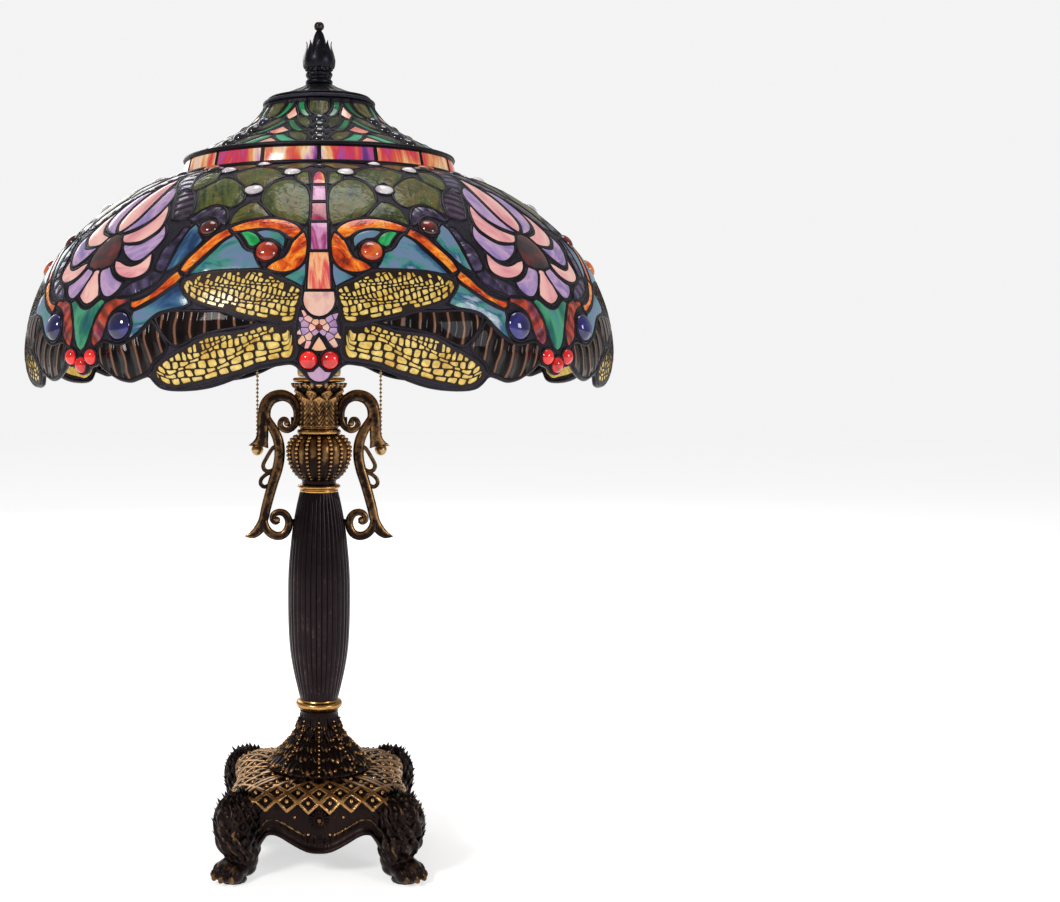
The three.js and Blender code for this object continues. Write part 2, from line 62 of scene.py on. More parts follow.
# ------------------------------------------------------------------ mesh kit
class Mesh:
    """Collects parts in millimetres, each with a material name and two attributes:
    grain, the piece's own coordinates for streaks, and wear and highlight: where a casting is worn bright, with painted
    highlights and painted shade in places."""

    def __init__(self):
        self.v, self.f, self.m, self.g, self.r, self.n = [], [], [], [], [], 0
        self.mats = []

    def add(self, v, f, mat, grain=None, rub=None):
        v = np.asarray(v, float).reshape(-1, 3)
        if mat not in self.mats:
            self.mats.append(mat)
        k = self.mats.index(mat)
        self.v.append(v)
        self.f.extend([tuple(int(i) + self.n for i in face) for face in f])
        self.m.extend([k] * len(f))
        self.g.append(v if grain is None else np.asarray(grain, float).reshape(-1, 3))
        self.r.append(np.zeros(len(v)) if rub is None else np.broadcast_to(np.asarray(rub, float), (len(v),)))
        self.n += len(v)

    def build(self, name, body, nodes=(), slot=None, sharp=50):
        me = bpy.data.meshes.new(name)
        V = np.concatenate(self.v) * MM
        me.from_pydata(V.tolist(), [], self.f)
        me.polygons.foreach_set("material_index", np.array(self.m, np.int32))
        me.polygons.foreach_set("use_smooth", np.ones(len(self.f), bool))
        for m in self.mats:
            me.materials.append(MAT[m])
        a = me.attributes.new("grain", "FLOAT_VECTOR", "POINT")
        a.data.foreach_set("vector", (np.concatenate(self.g) * MM).astype(np.float32).ravel())
        a = me.attributes.new("rub", "FLOAT", "POINT")
        a.data.foreach_set("value", np.concatenate(self.r).astype(np.float32))
        me.update()
        if sharp:
            me.set_sharp_from_angle(angle=math.radians(sharp))
        o = bpy.data.objects.new(name, me)
        bpy.context.scene.collection.objects.link(o)
        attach(o, body)
        if nodes:
            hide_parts(*nodes)
        return o


def rot_z(v, deg):
    a = math.radians(deg)
    c, s = math.cos(a), math.sin(a)
    v = np.asarray(v, float)
    return np.stack([c * v[:, 0] - s * v[:, 1], s * v[:, 0] + c * v[:, 1], v[:, 2]], 1)


def catmull(P, n=10, closed=False):
    P = np.asarray(P, float)
    Q = np.vstack([P[-1:], P, P[:2]]) if closed else np.vstack([2 * P[0] - P[1], P, 2 * P[-1] - P[-2]])
    out = []
    for i in range(1, len(Q) - 2):
        a, b, c, d = Q[i - 1], Q[i], Q[i + 1], Q[i + 2]
        for k in range(n):
            t = k / n
            out.append(0.5 * (2 * b + (c - a) * t + (2 * a - 5 * b + 4 * c - d) * t * t + (3 * b - a - 3 * c + d) * t**3))
    if not closed:
        out.append(P[-1])
    return np.array(out)


def lathe(profile, seg, axis=(0, 0), shape=None, rub=None):
    """A closed solid of revolution from a closed loop of [radius, height]; radius 0 points make poles.
    shape(phi, r, z) may return a new radius."""
    P = np.asarray(profile, float)
    if sum(P[i, 0] * P[(i + 1) % len(P), 1] - P[(i + 1) % len(P), 0] * P[i, 1] for i in range(len(P))) < 0:
        P = P[::-1]
    phi = np.arange(seg) * 2 * math.pi / seg
    rows, V, R = [], [], []
    for r, z in P:
        if r < 1e-6:
            rows.append([len(V)])
            V.append((axis[0], axis[1], z))
            R.append(0 if rub is None else rub(0, r, z))
        else:
            rows.append(list(range(len(V), len(V) + seg)))
            for a in phi:
                q = r if shape is None else shape(a, r, z)
                V.append((axis[0] + q * math.cos(a), axis[1] + q * math.sin(a), z))
                R.append(0 if rub is None else rub(a, r, z))
    F = []
    for i in range(len(rows)):
        A, B = rows[i], rows[(i + 1) % len(rows)]
        if len(A) == 1 and len(B) == 1:
            continue
        for k in range(seg):
            j = (k + 1) % seg
            if len(A) == 1:
                F.append((A[0], B[j], B[k]))
            elif len(B) == 1:
                F.append((A[k], A[j], B[0]))
            else:
                F.append((A[k], A[j], B[j], B[k]))
    return np.array(V), F, np.array(R, float)


def ball(c, r, nu=10, nv=7, squash=(1, 1, 1), axis=None):
    V = [(0, 0, -1)]
    for j in range(1, nv):
        b = -math.pi / 2 + math.pi * j / nv
        for i in range(nu):
            a = 2 * math.pi * i / nu
            V.append((math.cos(a) * math.cos(b), math.sin(a) * math.cos(b), math.sin(b)))
    V.append((0, 0, 1))
    F = []
    for i in range(nu):
        k = (i + 1) % nu
        F.append((0, 1 + k, 1 + i))
        for j in range(nv - 2):
            a, b = 1 + j * nu, 1 + (j + 1) * nu
            F.append((a + i, a + k, b + k, b + i))
        F.append((1 + (nv - 2) * nu + i, 1 + (nv - 2) * nu + k, len(V) - 1))
    V = np.array(V) * r * np.array(squash)
    if axis is not None:
        q = Vector((0, 0, 1)).rotation_difference(Vector(axis)).to_matrix()
        V = V @ np.array(q).T
    return V + np.array(c, float), F


def tube(path, rad, sides=8, closed=False, up=None, section=None, caps=True):
    """A swept tube. rad: one radius or one per point, or (n,2) half widths. section(angle) may scale the radius."""
    P = np.asarray(path, float)
    n = len(P)
    rad = np.broadcast_to(np.asarray(rad, float).reshape(-1, 1) if np.ndim(rad) < 2 else np.asarray(rad, float), (n, 2 if np.ndim(rad) == 2 else 1))
    T = (np.roll(P, -1, 0) - np.roll(P, 1, 0)) if closed else np.gradient(P, axis=0)
    T /= np.linalg.norm(T, axis=1)[:, None] + 1e-12
    up = np.array((0, 0, 1.0) if up is None else up, float)
    V = []
    X = None
    for i in range(n):
        t = T[i]
        if X is None:
            X = np.cross(up, t)
            if np.linalg.norm(X) < 1e-3:
                X = np.cross((1, 0, 0), t)
        X = X - t * X.dot(t)
        X /= np.linalg.norm(X)
        Y = np.cross(t, X)
        for k in range(sides):
            a = 2 * math.pi * k / sides
            sx, sy = (math.cos(a), math.sin(a)) if section is None else section(a)
            V.append(P[i] + X * rad[i][0] * sx + Y * rad[i][-1] * sy)
    F = []
    for i in range(n if closed else n - 1):
        for k in range(sides):
            a, b = i * sides, ((i + 1) % n) * sides
            j = (k + 1) % sides
            F.append((a + k, a + j, b + j, b + k))
    if not closed and caps:
        F.append(tuple(range(sides))[::-1])
        F.append(tuple(range((n - 1) * sides, n * sides)))
    return np.array(V), F


def arc_length(P, closed=False):
    P = np.asarray(P, float)
    d = np.linalg.norm(np.diff(P, axis=0), axis=1)
    return np.concatenate([[0], np.cumsum(d)])


def resample(P, n):
    P = np.asarray(P, float)
    S = arc_length(P)
    t = np.linspace(0, S[-1], n)
    return np.stack([np.interp(t, S, P[:, k]) for k in range(P.shape[1])], 1)


# ------------------------------------------------------------------ materials
MAT = {}


class Nodes:
    """A short way to write a node tree."""

    def __init__(self, name):
        self.m = bpy.data.materials.new(name)
        self.m.use_nodes = True
        self.t = self.m.node_tree
        self.t.nodes.clear()
        self.out = self.t.nodes.new("ShaderNodeOutputMaterial")
        self.b = self.t.nodes.new("ShaderNodeBsdfPrincipled")
        self.link(self.b.outputs[0], self.out.inputs["Surface"])
        MAT[name] = self.m

    def link(self, a, b):
        self.t.links.new(a, b)

    def put(self, sock, val):
        if isinstance(val, bpy.types.NodeSocket):
            self.link(val, sock)
        else:
            sock.default_value = val

    def node(self, kind, **kw):
        n = self.t.nodes.new(kind)
        ins = kw.pop("ins", {})
        for k, v in kw.items():
            setattr(n, k, v)
        for k, v in ins.items():
            self.put(n.inputs[k], v)
        return n

    def attr(self, name, out="Vector"):
        return self.node("ShaderNodeAttribute", attribute_name=name).outputs[out]

    def obj(self):
        return self.node("ShaderNodeTexCoord").outputs["Object"]

    def scaled(self, vec, scale, rot=(0, 0, 0), loc=(0, 0, 0)):
        n = self.node("ShaderNodeMapping", ins={"Vector": vec})
        n.inputs["Scale"].default_value = scale
        n.inputs["Rotation"].default_value = rot
        n.inputs["Location"].default_value = loc
        return n.outputs[0]

    def noise(self, vec, scale, detail=3.0, rough=0.55, dist=0.0, out="Fac"):
        return self.node("ShaderNodeTexNoise", ins={"Vector": vec, "Scale": scale, "Detail": detail, "Roughness": rough, "Distortion": dist}).outputs[out]

    def ramp(self, fac, stops, mode="LINEAR"):
        n = self.node("ShaderNodeValToRGB", ins={"Fac": fac})
        e = n.color_ramp
        e.interpolation = mode
        while len(e.elements) < len(stops):
            e.elements.new(0.5)
        for k, (p, c) in enumerate(stops):
            e.elements[k].position = p
            e.elements[k].color = (*c, 1.0) if len(c) == 3 else c
        return n.outputs["Color"]

    def math(self, op, a, b=0.0, clamp=False):
        n = self.node("ShaderNodeMath", operation=op, use_clamp=clamp)
        self.put(n.inputs[0], a)
        self.put(n.inputs[1], b)
        return n.outputs[0]

    def span(self, v, lo, hi, a=0.0, b=1.0):
        n = self.node("ShaderNodeMapRange", ins={"Value": v, "From Min": lo, "From Max": hi, "To Min": a, "To Max": b})
        n.clamp = True
        return n.outputs[0]

    def mix(self, fac, a, b, blend="MIX"):
        n = self.node("ShaderNodeMix", data_type="RGBA", blend_type=blend)
        self.put(n.inputs[0], fac)
        self.put(n.inputs[6], a if isinstance(a, bpy.types.NodeSocket) or len(a) == 4 else (*a, 1))
        self.put(n.inputs[7], b if isinstance(b, bpy.types.NodeSocket) or len(b) == 4 else (*b, 1))
        return n.outputs[2]

    def bump(self, height, dist, strength=1.0, normal=None):
        n = self.node("ShaderNodeBump", ins={"Height": height, "Distance": dist, "Strength": strength})
        if normal is not None:
            self.link(normal, n.inputs["Normal"])
        return n.outputs[0]

    def set(self, **kw):
        names = dict(color="Base Color", metal="Metallic", rough="Roughness", ior="IOR", normal="Normal", spec="Specular IOR Level",
                     coat="Coat Weight", coat_rough="Coat Roughness", emit="Emission Color", power="Emission Strength",
                     trans="Transmission Weight", alpha="Alpha", sheen="Sheen Weight", sss="Subsurface Weight", tint="Specular Tint")
        for k, v in kw.items():
            s = self.b.inputs[names[k]]
            if not isinstance(v, bpy.types.NodeSocket) and s.type == "RGBA" and len(v) == 3:
                v = (*v, 1)
            self.put(s, v)
        return self


def srgb(r, g, b):
    f = lambda c: (c / 255) / 12.92 if c / 255 <= 0.04045 else (((c / 255) + 0.055) / 1.055) ** 2.4
    return (f(r), f(g), f(b))


def glass(name, cols, streak=(30, 90, 40), mottle=25, dist=0.6, ripple=None, rough=0.16, power=0.16, coat=0.25, gain=1.0, speck=None, spec=0.28, rib=None):
    """Sheet art glass. cols: sRGB colours from one end of the streak to the other. streak: noise scale along, across and
    through the piece, per metre. ripple: (kind, scale, depth in metres)."""
    N = Nodes(name)
    g = N.attr("grain")
    a = N.noise(N.scaled(g, streak), 1.0, 5.0, 0.6, dist)
    b = N.noise(g, mottle, 3.0, 0.5, 0.3)
    f = N.math("ADD", N.math("MULTIPLY", a, 0.62), N.math("MULTIPLY", b, 0.38))
    f = N.span(f, 0.36, 0.64)
    n = len(cols)
    stops = [(k / (n - 1), tuple(gain * c for c in srgb(*cols[k]))) for k in range(n)]
    c = N.ramp(f, stops, "EASE" if n < 4 else "LINEAR")
    if speck:
        s = N.noise(g, speck[0], 2.0, 0.5)
        c = N.mix(N.span(s, 0.55, 0.72, 0, speck[2]), c, srgb(*speck[1]))
    fine = N.noise(g, 420, 2.0, 0.5)
    normal = N.bump(fine, 0.00012, 0.35)
    r_in = N.span(N.noise(g, 60, 2.0), 0.3, 0.7, rough * 0.75, rough * 1.35)
    if ripple:
        kind, scale, depth = ripple
        if kind == "bars":      # drapery ribs across the piece
            w = N.node("ShaderNodeTexWave", wave_type="BANDS", bands_direction="X", ins={"Vector": g, "Scale": scale, "Distortion": 2.2, "Detail": 1.5, "Detail Scale": 1.4, "Detail Roughness": 0.5}).outputs["Fac"]
        elif kind == "along":   # fine cords along the piece
            w = N.noise(N.scaled(g, (scale * 0.12, scale, scale * 0.4)), 1.0, 3.0, 0.5, 0.5)
        else:                   # hammered
            w = N.noise(g, scale, 2.0, 0.5, 0.6)
        normal = N.bump(w, depth, 1.0, normal)
        # Painted shade and highlight: the colour is darkened in the ripple troughs and lightened on the crests.
        shade = N.span(w, 0.2, 0.85, 0.55, 1.25)
        c = N.mix(1.0, c, N.node("ShaderNodeCombineColor", ins={0: shade, 1: shade, 2: shade}).outputs[0], "MULTIPLY")
        # Painted highlight: a pale colour laid over the highest ripple crests.
        if rib:
            c = N.mix(N.span(w, 0.90, 0.99, 0, 0.75), c, srgb(*rib))
    # Painted glow: the base colour is darkened and the same streaked colour is given out as emission, so the glass
    # looks lit from within with no light behind it.
    body = N.mix(1.0, c, (0.42, 0.42, 0.42), "MULTIPLY")
    N.set(color=body, emit=c, power=power * 3.0, rough=r_in, coat=min(coat, 0.22), coat_rough=0.06, normal=normal, spec=spec)
    return N


glass("flame", [(120, 30, 90), (205, 60, 110), (236, 110, 70), (250, 190, 120), (214, 70, 90)], (22, 110, 50), 30, ripple=None)
glass("body", [(126, 60, 120), (190, 110, 168), (216, 150, 190), (150, 50, 110), (196, 96, 150)], (22, 110, 50), 40)
glass("bodyred", [(96, 22, 52), (150, 36, 72), (190, 70, 96), (120, 30, 60)], (22, 110, 50), 40)
glass("bodyhot", [(170, 50, 110), (236, 120, 80), (248, 190, 140), (226, 90, 84), (190, 60, 120)], (16, 120, 50), 30)
glass("blush", [(206, 146, 156), (238, 196, 176), (230, 172, 152), (184, 134, 170)], (30, 60, 40), 40)
glass("peach", [(226, 150, 112), (242, 190, 150), (226, 158, 136)], (30, 60, 40), 40)
glass("lilac", [(128, 98, 150), (170, 130, 176), (196, 156, 186), (146, 110, 160)], (24, 60, 40), 40)
glass("amber", [(110, 26, 8), (190, 58, 14), (232, 100, 20), (250, 160, 50), (200, 60, 16)], (60, 150, 60), 60, ripple=("hammer", 260, 0.0007), rough=0.1, power=0.2, coat=0.6)
glass("leaf", [(10, 96, 52), (24, 150, 76), (60, 190, 110), (20, 130, 84)], (30, 70, 40), 40)
glass("opal", [(24, 54, 92), (52, 92, 132), (84, 134, 146), (110, 126, 164), (64, 140, 122), (36, 84, 124), (160, 176, 186)], (14, 34, 20), 26, dist=1.1)
glass("opalgreen", [(20, 66, 96), (32, 112, 90), (72, 156, 112), (62, 120, 148), (120, 172, 150)], (14, 34, 20), 26, dist=1.1)
glass("moss", [(34, 40, 18), (62, 72, 30), (90, 98, 44), (106, 92, 46), (66, 76, 34)], (20, 130, 40), 30, ripple=("hammer", 170, 0.0009), rough=0.2, coat=0.04, spec=0.16)
glass("mauve", [(20, 14, 32), (44, 34, 62), (78, 66, 100), (40, 28, 52), (112, 100, 132)], (20, 60, 30), 40, ripple=("bars", 34, 0.0014), rough=0.12, coat=0.6)
glass("plum", [(18, 10, 22), (38, 20, 40), (60, 38, 66), (34, 16, 32)], (20, 60, 30), 40, ripple=("bars", 38, 0.0014), rough=0.12, coat=0.6)
glass("pink", [(216, 136, 148), (240, 172, 170), (248, 198, 184), (226, 150, 162)], (16, 60, 30), 30)
glass("lavender", [(104, 90, 152), (146, 124, 182), (196, 160, 196), (130, 110, 170), (222, 176, 194)], (16, 50, 30), 30)
glass("redripple", [(66, 22, 40), (128, 40, 34), (182, 66, 36), (104, 40, 70), (150, 60, 40)], (24, 60, 30), 34, ripple=("bars", 34, 0.0012), rough=0.12, coat=0.6)
# umber: near-black glass; its pale rib colour is a painted highlight on the ripple crests.
glass("umber", [(8, 5, 7), (20, 11, 11), (38, 20, 17), (14, 8, 11)], (24, 60, 30), 34, ripple=("bars", 30, 0.0016), rough=0.1, power=0.05, coat=0.1, spec=0.12, rib=(176, 124, 96))
glass("gold", [(216, 162, 66), (244, 202, 98), (252, 222, 132), (236, 184, 82)], (40, 60, 40), 90, ripple=("hammer", 300, 0.0002), rough=0.22, power=0.16, coat=0.2)
glass("bandglass", [(84, 50, 120), (120, 56, 130), (180, 80, 150), (210, 50, 84), (226, 96, 70), (238, 170, 110), (250, 220, 180), (226, 160, 190), (150, 80, 150), (100, 50, 120)], (34, 8, 20), 12, dist=0.8)
glass("emerald", [(4, 66, 40), (10, 108, 60), (28, 150, 82), (6, 84, 62)], (24, 60, 30), 40)
glass("mint", [(16, 112, 80), (44, 156, 114), (76, 178, 134), (24, 130, 78)], (24, 60, 30), 40)
glass("salmon", [(226, 120, 116), (244, 166, 146), (250, 196, 170), (236, 140, 134)], (24, 60, 30), 40)
glass("olive", [(26, 30, 12), (58, 64, 26), (98, 100, 50), (74, 56, 26), (124, 120, 70)], (30, 90, 40), 60, ripple=("along", 300, 0.001), rough=0.16, coat=0.1, spec=0.2)


def cabochon(name, cols, rough=0.04, power=0.12, scale=90, rough_bump=0.0):
    N = Nodes(name)
    g = N.attr("grain")
    f = N.span(N.noise(g, scale, 3.0, 0.5, 0.5), 0.32, 0.68)
    c = N.ramp(f, [(k / (len(cols) - 1), srgb(*cols[k])) for k in range(len(cols))])
    h = N.noise(g, 150, 2.0)
    # Painted glow: the base colour is darkened and the stone's colour is given out as emission, so it looks lit from
    # within.
    N.set(color=N.mix(1.0, c, (0.6, 0.6, 0.6), "MULTIPLY"), emit=c, power=power * 2.0, rough=N.span(h, 0.3, 0.7, rough * 0.7, rough * 1.5), coat=0.5, coat_rough=0.02, spec=0.5,
          normal=N.bump(h, 0.0004 + rough_bump, 0.35))


cabochon("red", [(120, 4, 6), (196, 14, 14), (232, 40, 26)], power=0.3)
cabochon("garnet", [(34, 5, 5), (92, 14, 8), (160, 40, 14)], power=0.07)
cabochon("ember", [(90, 14, 6), (186, 50, 12), (240, 124, 34)], rough=0.08, power=0.12, rough_bump=0.0006)
cabochon("ruby", [(26, 3, 6), (64, 8, 12), (104, 18, 20)], rough=0.1, power=0.12, rough_bump=0.0006)
cabochon("nugget", [(196, 180, 190), (232, 222, 226), (250, 246, 244)], rough=0.12, power=0.1, rough_bump=0.0005)
cabochon("cobalt", [(8, 8, 44), (24, 20, 92), (52, 46, 142)], power=0.05)
cabochon("topaz", [(110, 40, 8), (190, 84, 14), (240, 160, 40)], rough=0.14, power=0.2, rough_bump=0.0009)
cabochon("jet", [(6, 5, 9), (14, 11, 18), (24, 18, 28)], power=0.0)
cabochon("midnight", [(4, 3, 14), (10, 8, 40), (24, 20, 78)], power=0.02)


def metal(name, dark, bright=None, metal_=1.0, rough=(0.3, 0.5), grain=260, bump=0.00015, wear=0.0, spec=0.5, tarnish=None, brushed=None, coat=0.0):
    """A metal with patina: dark in the hollows, bright where the wear-and-highlight attribute and the noise say; that
    attribute holds real wear and, in places, painted highlights and painted shade.
    """
    N = Nodes(name)
    p = N.obj()
    rub = N.attr("rub", "Fac")
    n1 = N.noise(p, grain, 4.0, 0.6)
    n2 = N.noise(p, 38, 3.0, 0.6, 0.4)
    c = N.ramp(N.span(n2, 0.3, 0.7), [(0, dark), (1, tuple(1.6 * x for x in dark))])
    if tarnish:
        c = N.mix(N.span(n2, 0.45, 0.75), c, tarnish)
    if bright:
        f = N.math("ADD", rub, N.math("MULTIPLY", N.math("SUBTRACT", n1, 0.5), 0.55))
        f = N.math("ADD", f, N.math("MULTIPLY", N.math("SUBTRACT", n2, 0.5), 0.5))
        f = N.span(f, 0.3, 0.85)
        c = N.mix(f, c, bright)
        r = N.span(f, 0, 1, rough[1], rough[0])
    else:
        r = N.span(n1, 0.3, 0.7, *rough)
    v = p if not brushed else N.scaled(p, brushed)
    h = N.noise(v, grain * 2 if not brushed else 1.0, 3.0, 0.6)
    N.set(color=c, metal=metal_, rough=r, normal=N.bump(h, bump, 0.6), spec=spec)
    if coat:
        N.set(coat=coat, coat_rough=0.15)


metal("bronze", (0.012, 0.0075, 0.0070), (0.50, 0.265, 0.095), 0.96, (0.25, 0.40), wear=1)
metal("column_bronze", (0.014, 0.0095, 0.0110), (0.19, 0.12, 0.095), 0.96, (0.20, 0.30), bump=0.0001)
metal("black_bronze", (0.009, 0.009, 0.013), (0.20, 0.12, 0.07), 0.9, (0.22, 0.34), bump=0.0001)
metal("gilt", (0.20, 0.10, 0.032), (0.66, 0.37, 0.12), 1.0, (0.2, 0.34), bump=0.00008)
metal("brass", (0.46, 0.30, 0.10), None, 1.0, (0.24, 0.4), bump=0.00006, tarnish=(0.30, 0.18, 0.06))
metal("bright_brass", (0.34, 0.23, 0.10), None, 1.0, (0.2, 0.34), bump=0.00005, tarnish=(0.24, 0.15, 0.07))
metal("steel", (0.42, 0.41, 0.40), None, 1.0, (0.28, 0.42), bump=0.00006, brushed=(500, 500, 60))
metal("iron", (0.06, 0.055, 0.05), (0.2, 0.15, 0.1), 0.7, (0.6, 0.8), bump=0.0004)
metal("came", (0.011, 0.009, 0.012), (0.07, 0.06, 0.07), 0.85, (0.24, 0.38), grain=500, bump=0.00025)
metal("solder", (0.022, 0.019, 0.029), (0.12, 0.105, 0.13), 0.85, (0.28, 0.44), grain=700, bump=0.0007, tarnish=(0.011, 0.009, 0.014))
metal("net", (0.014, 0.008, 0.006), (0.06, 0.035, 0.022), 0.7, (0.34, 0.5), grain=600, bump=0.0002)


def dull(name, a, b, rough=(0.7, 0.9), scale=300, bump=0.0003, sheen=0.0, coat=0.0):
    N = Nodes(name)
    p = N.obj()
    n1 = N.noise(p, scale, 4.0, 0.6)
    N.set(color=N.ramp(N.span(n1, 0.3, 0.7), [(0, a), (1, b)]), rough=N.span(n1, 0.3, 0.7, *rough), normal=N.bump(n1, bump, 0.6))
    if sheen:
        N.set(sheen=sheen)
    if coat:
        N.set(coat=coat, coat_rough=0.1)


dull("felt", (0.010, 0.013, 0.011), (0.022, 0.026, 0.022), (0.9, 1.0), 900, 0.0006, sheen=0.2)
dull("plastic", (0.012, 0.011, 0.010), (0.022, 0.02, 0.018), (0.35, 0.5), 500, 0.0001)
dull("porcelain", (0.72, 0.69, 0.60), (0.80, 0.78, 0.70), (0.16, 0.26), 120, 0.00005, coat=0.5)
N = Nodes("bulbglass")
n_ = N.noise(N.obj(), 60, 2.0)
N.set(color=N.ramp(n_, [(0, (0.93, 0.90, 0.82)), (1, (0.98, 0.96, 0.90))]), rough=N.span(n_, 0.3, 0.7, 0.22, 0.34), emit=(1.0, 0.93, 0.8), power=0.35,
      coat=0.6, coat_rough=0.08, normal=N.bump(N.noise(N.obj(), 500, 2.0), 0.00003, 0.4))
N = Nodes("paper_floor")
n_ = N.noise(N.obj(), 3.0, 4.0)
N.set(color=N.ramp(n_, [(0, (0.86, 0.86, 0.86)), (1, (0.90, 0.90, 0.90))]), emit=(1.0, 1.0, 1.0), power=0.57, rough=N.span(n_, 0.3, 0.7, 0.75, 0.9), normal=N.bump(N.noise(N.obj(), 220, 3.0), 0.0002, 0.3))

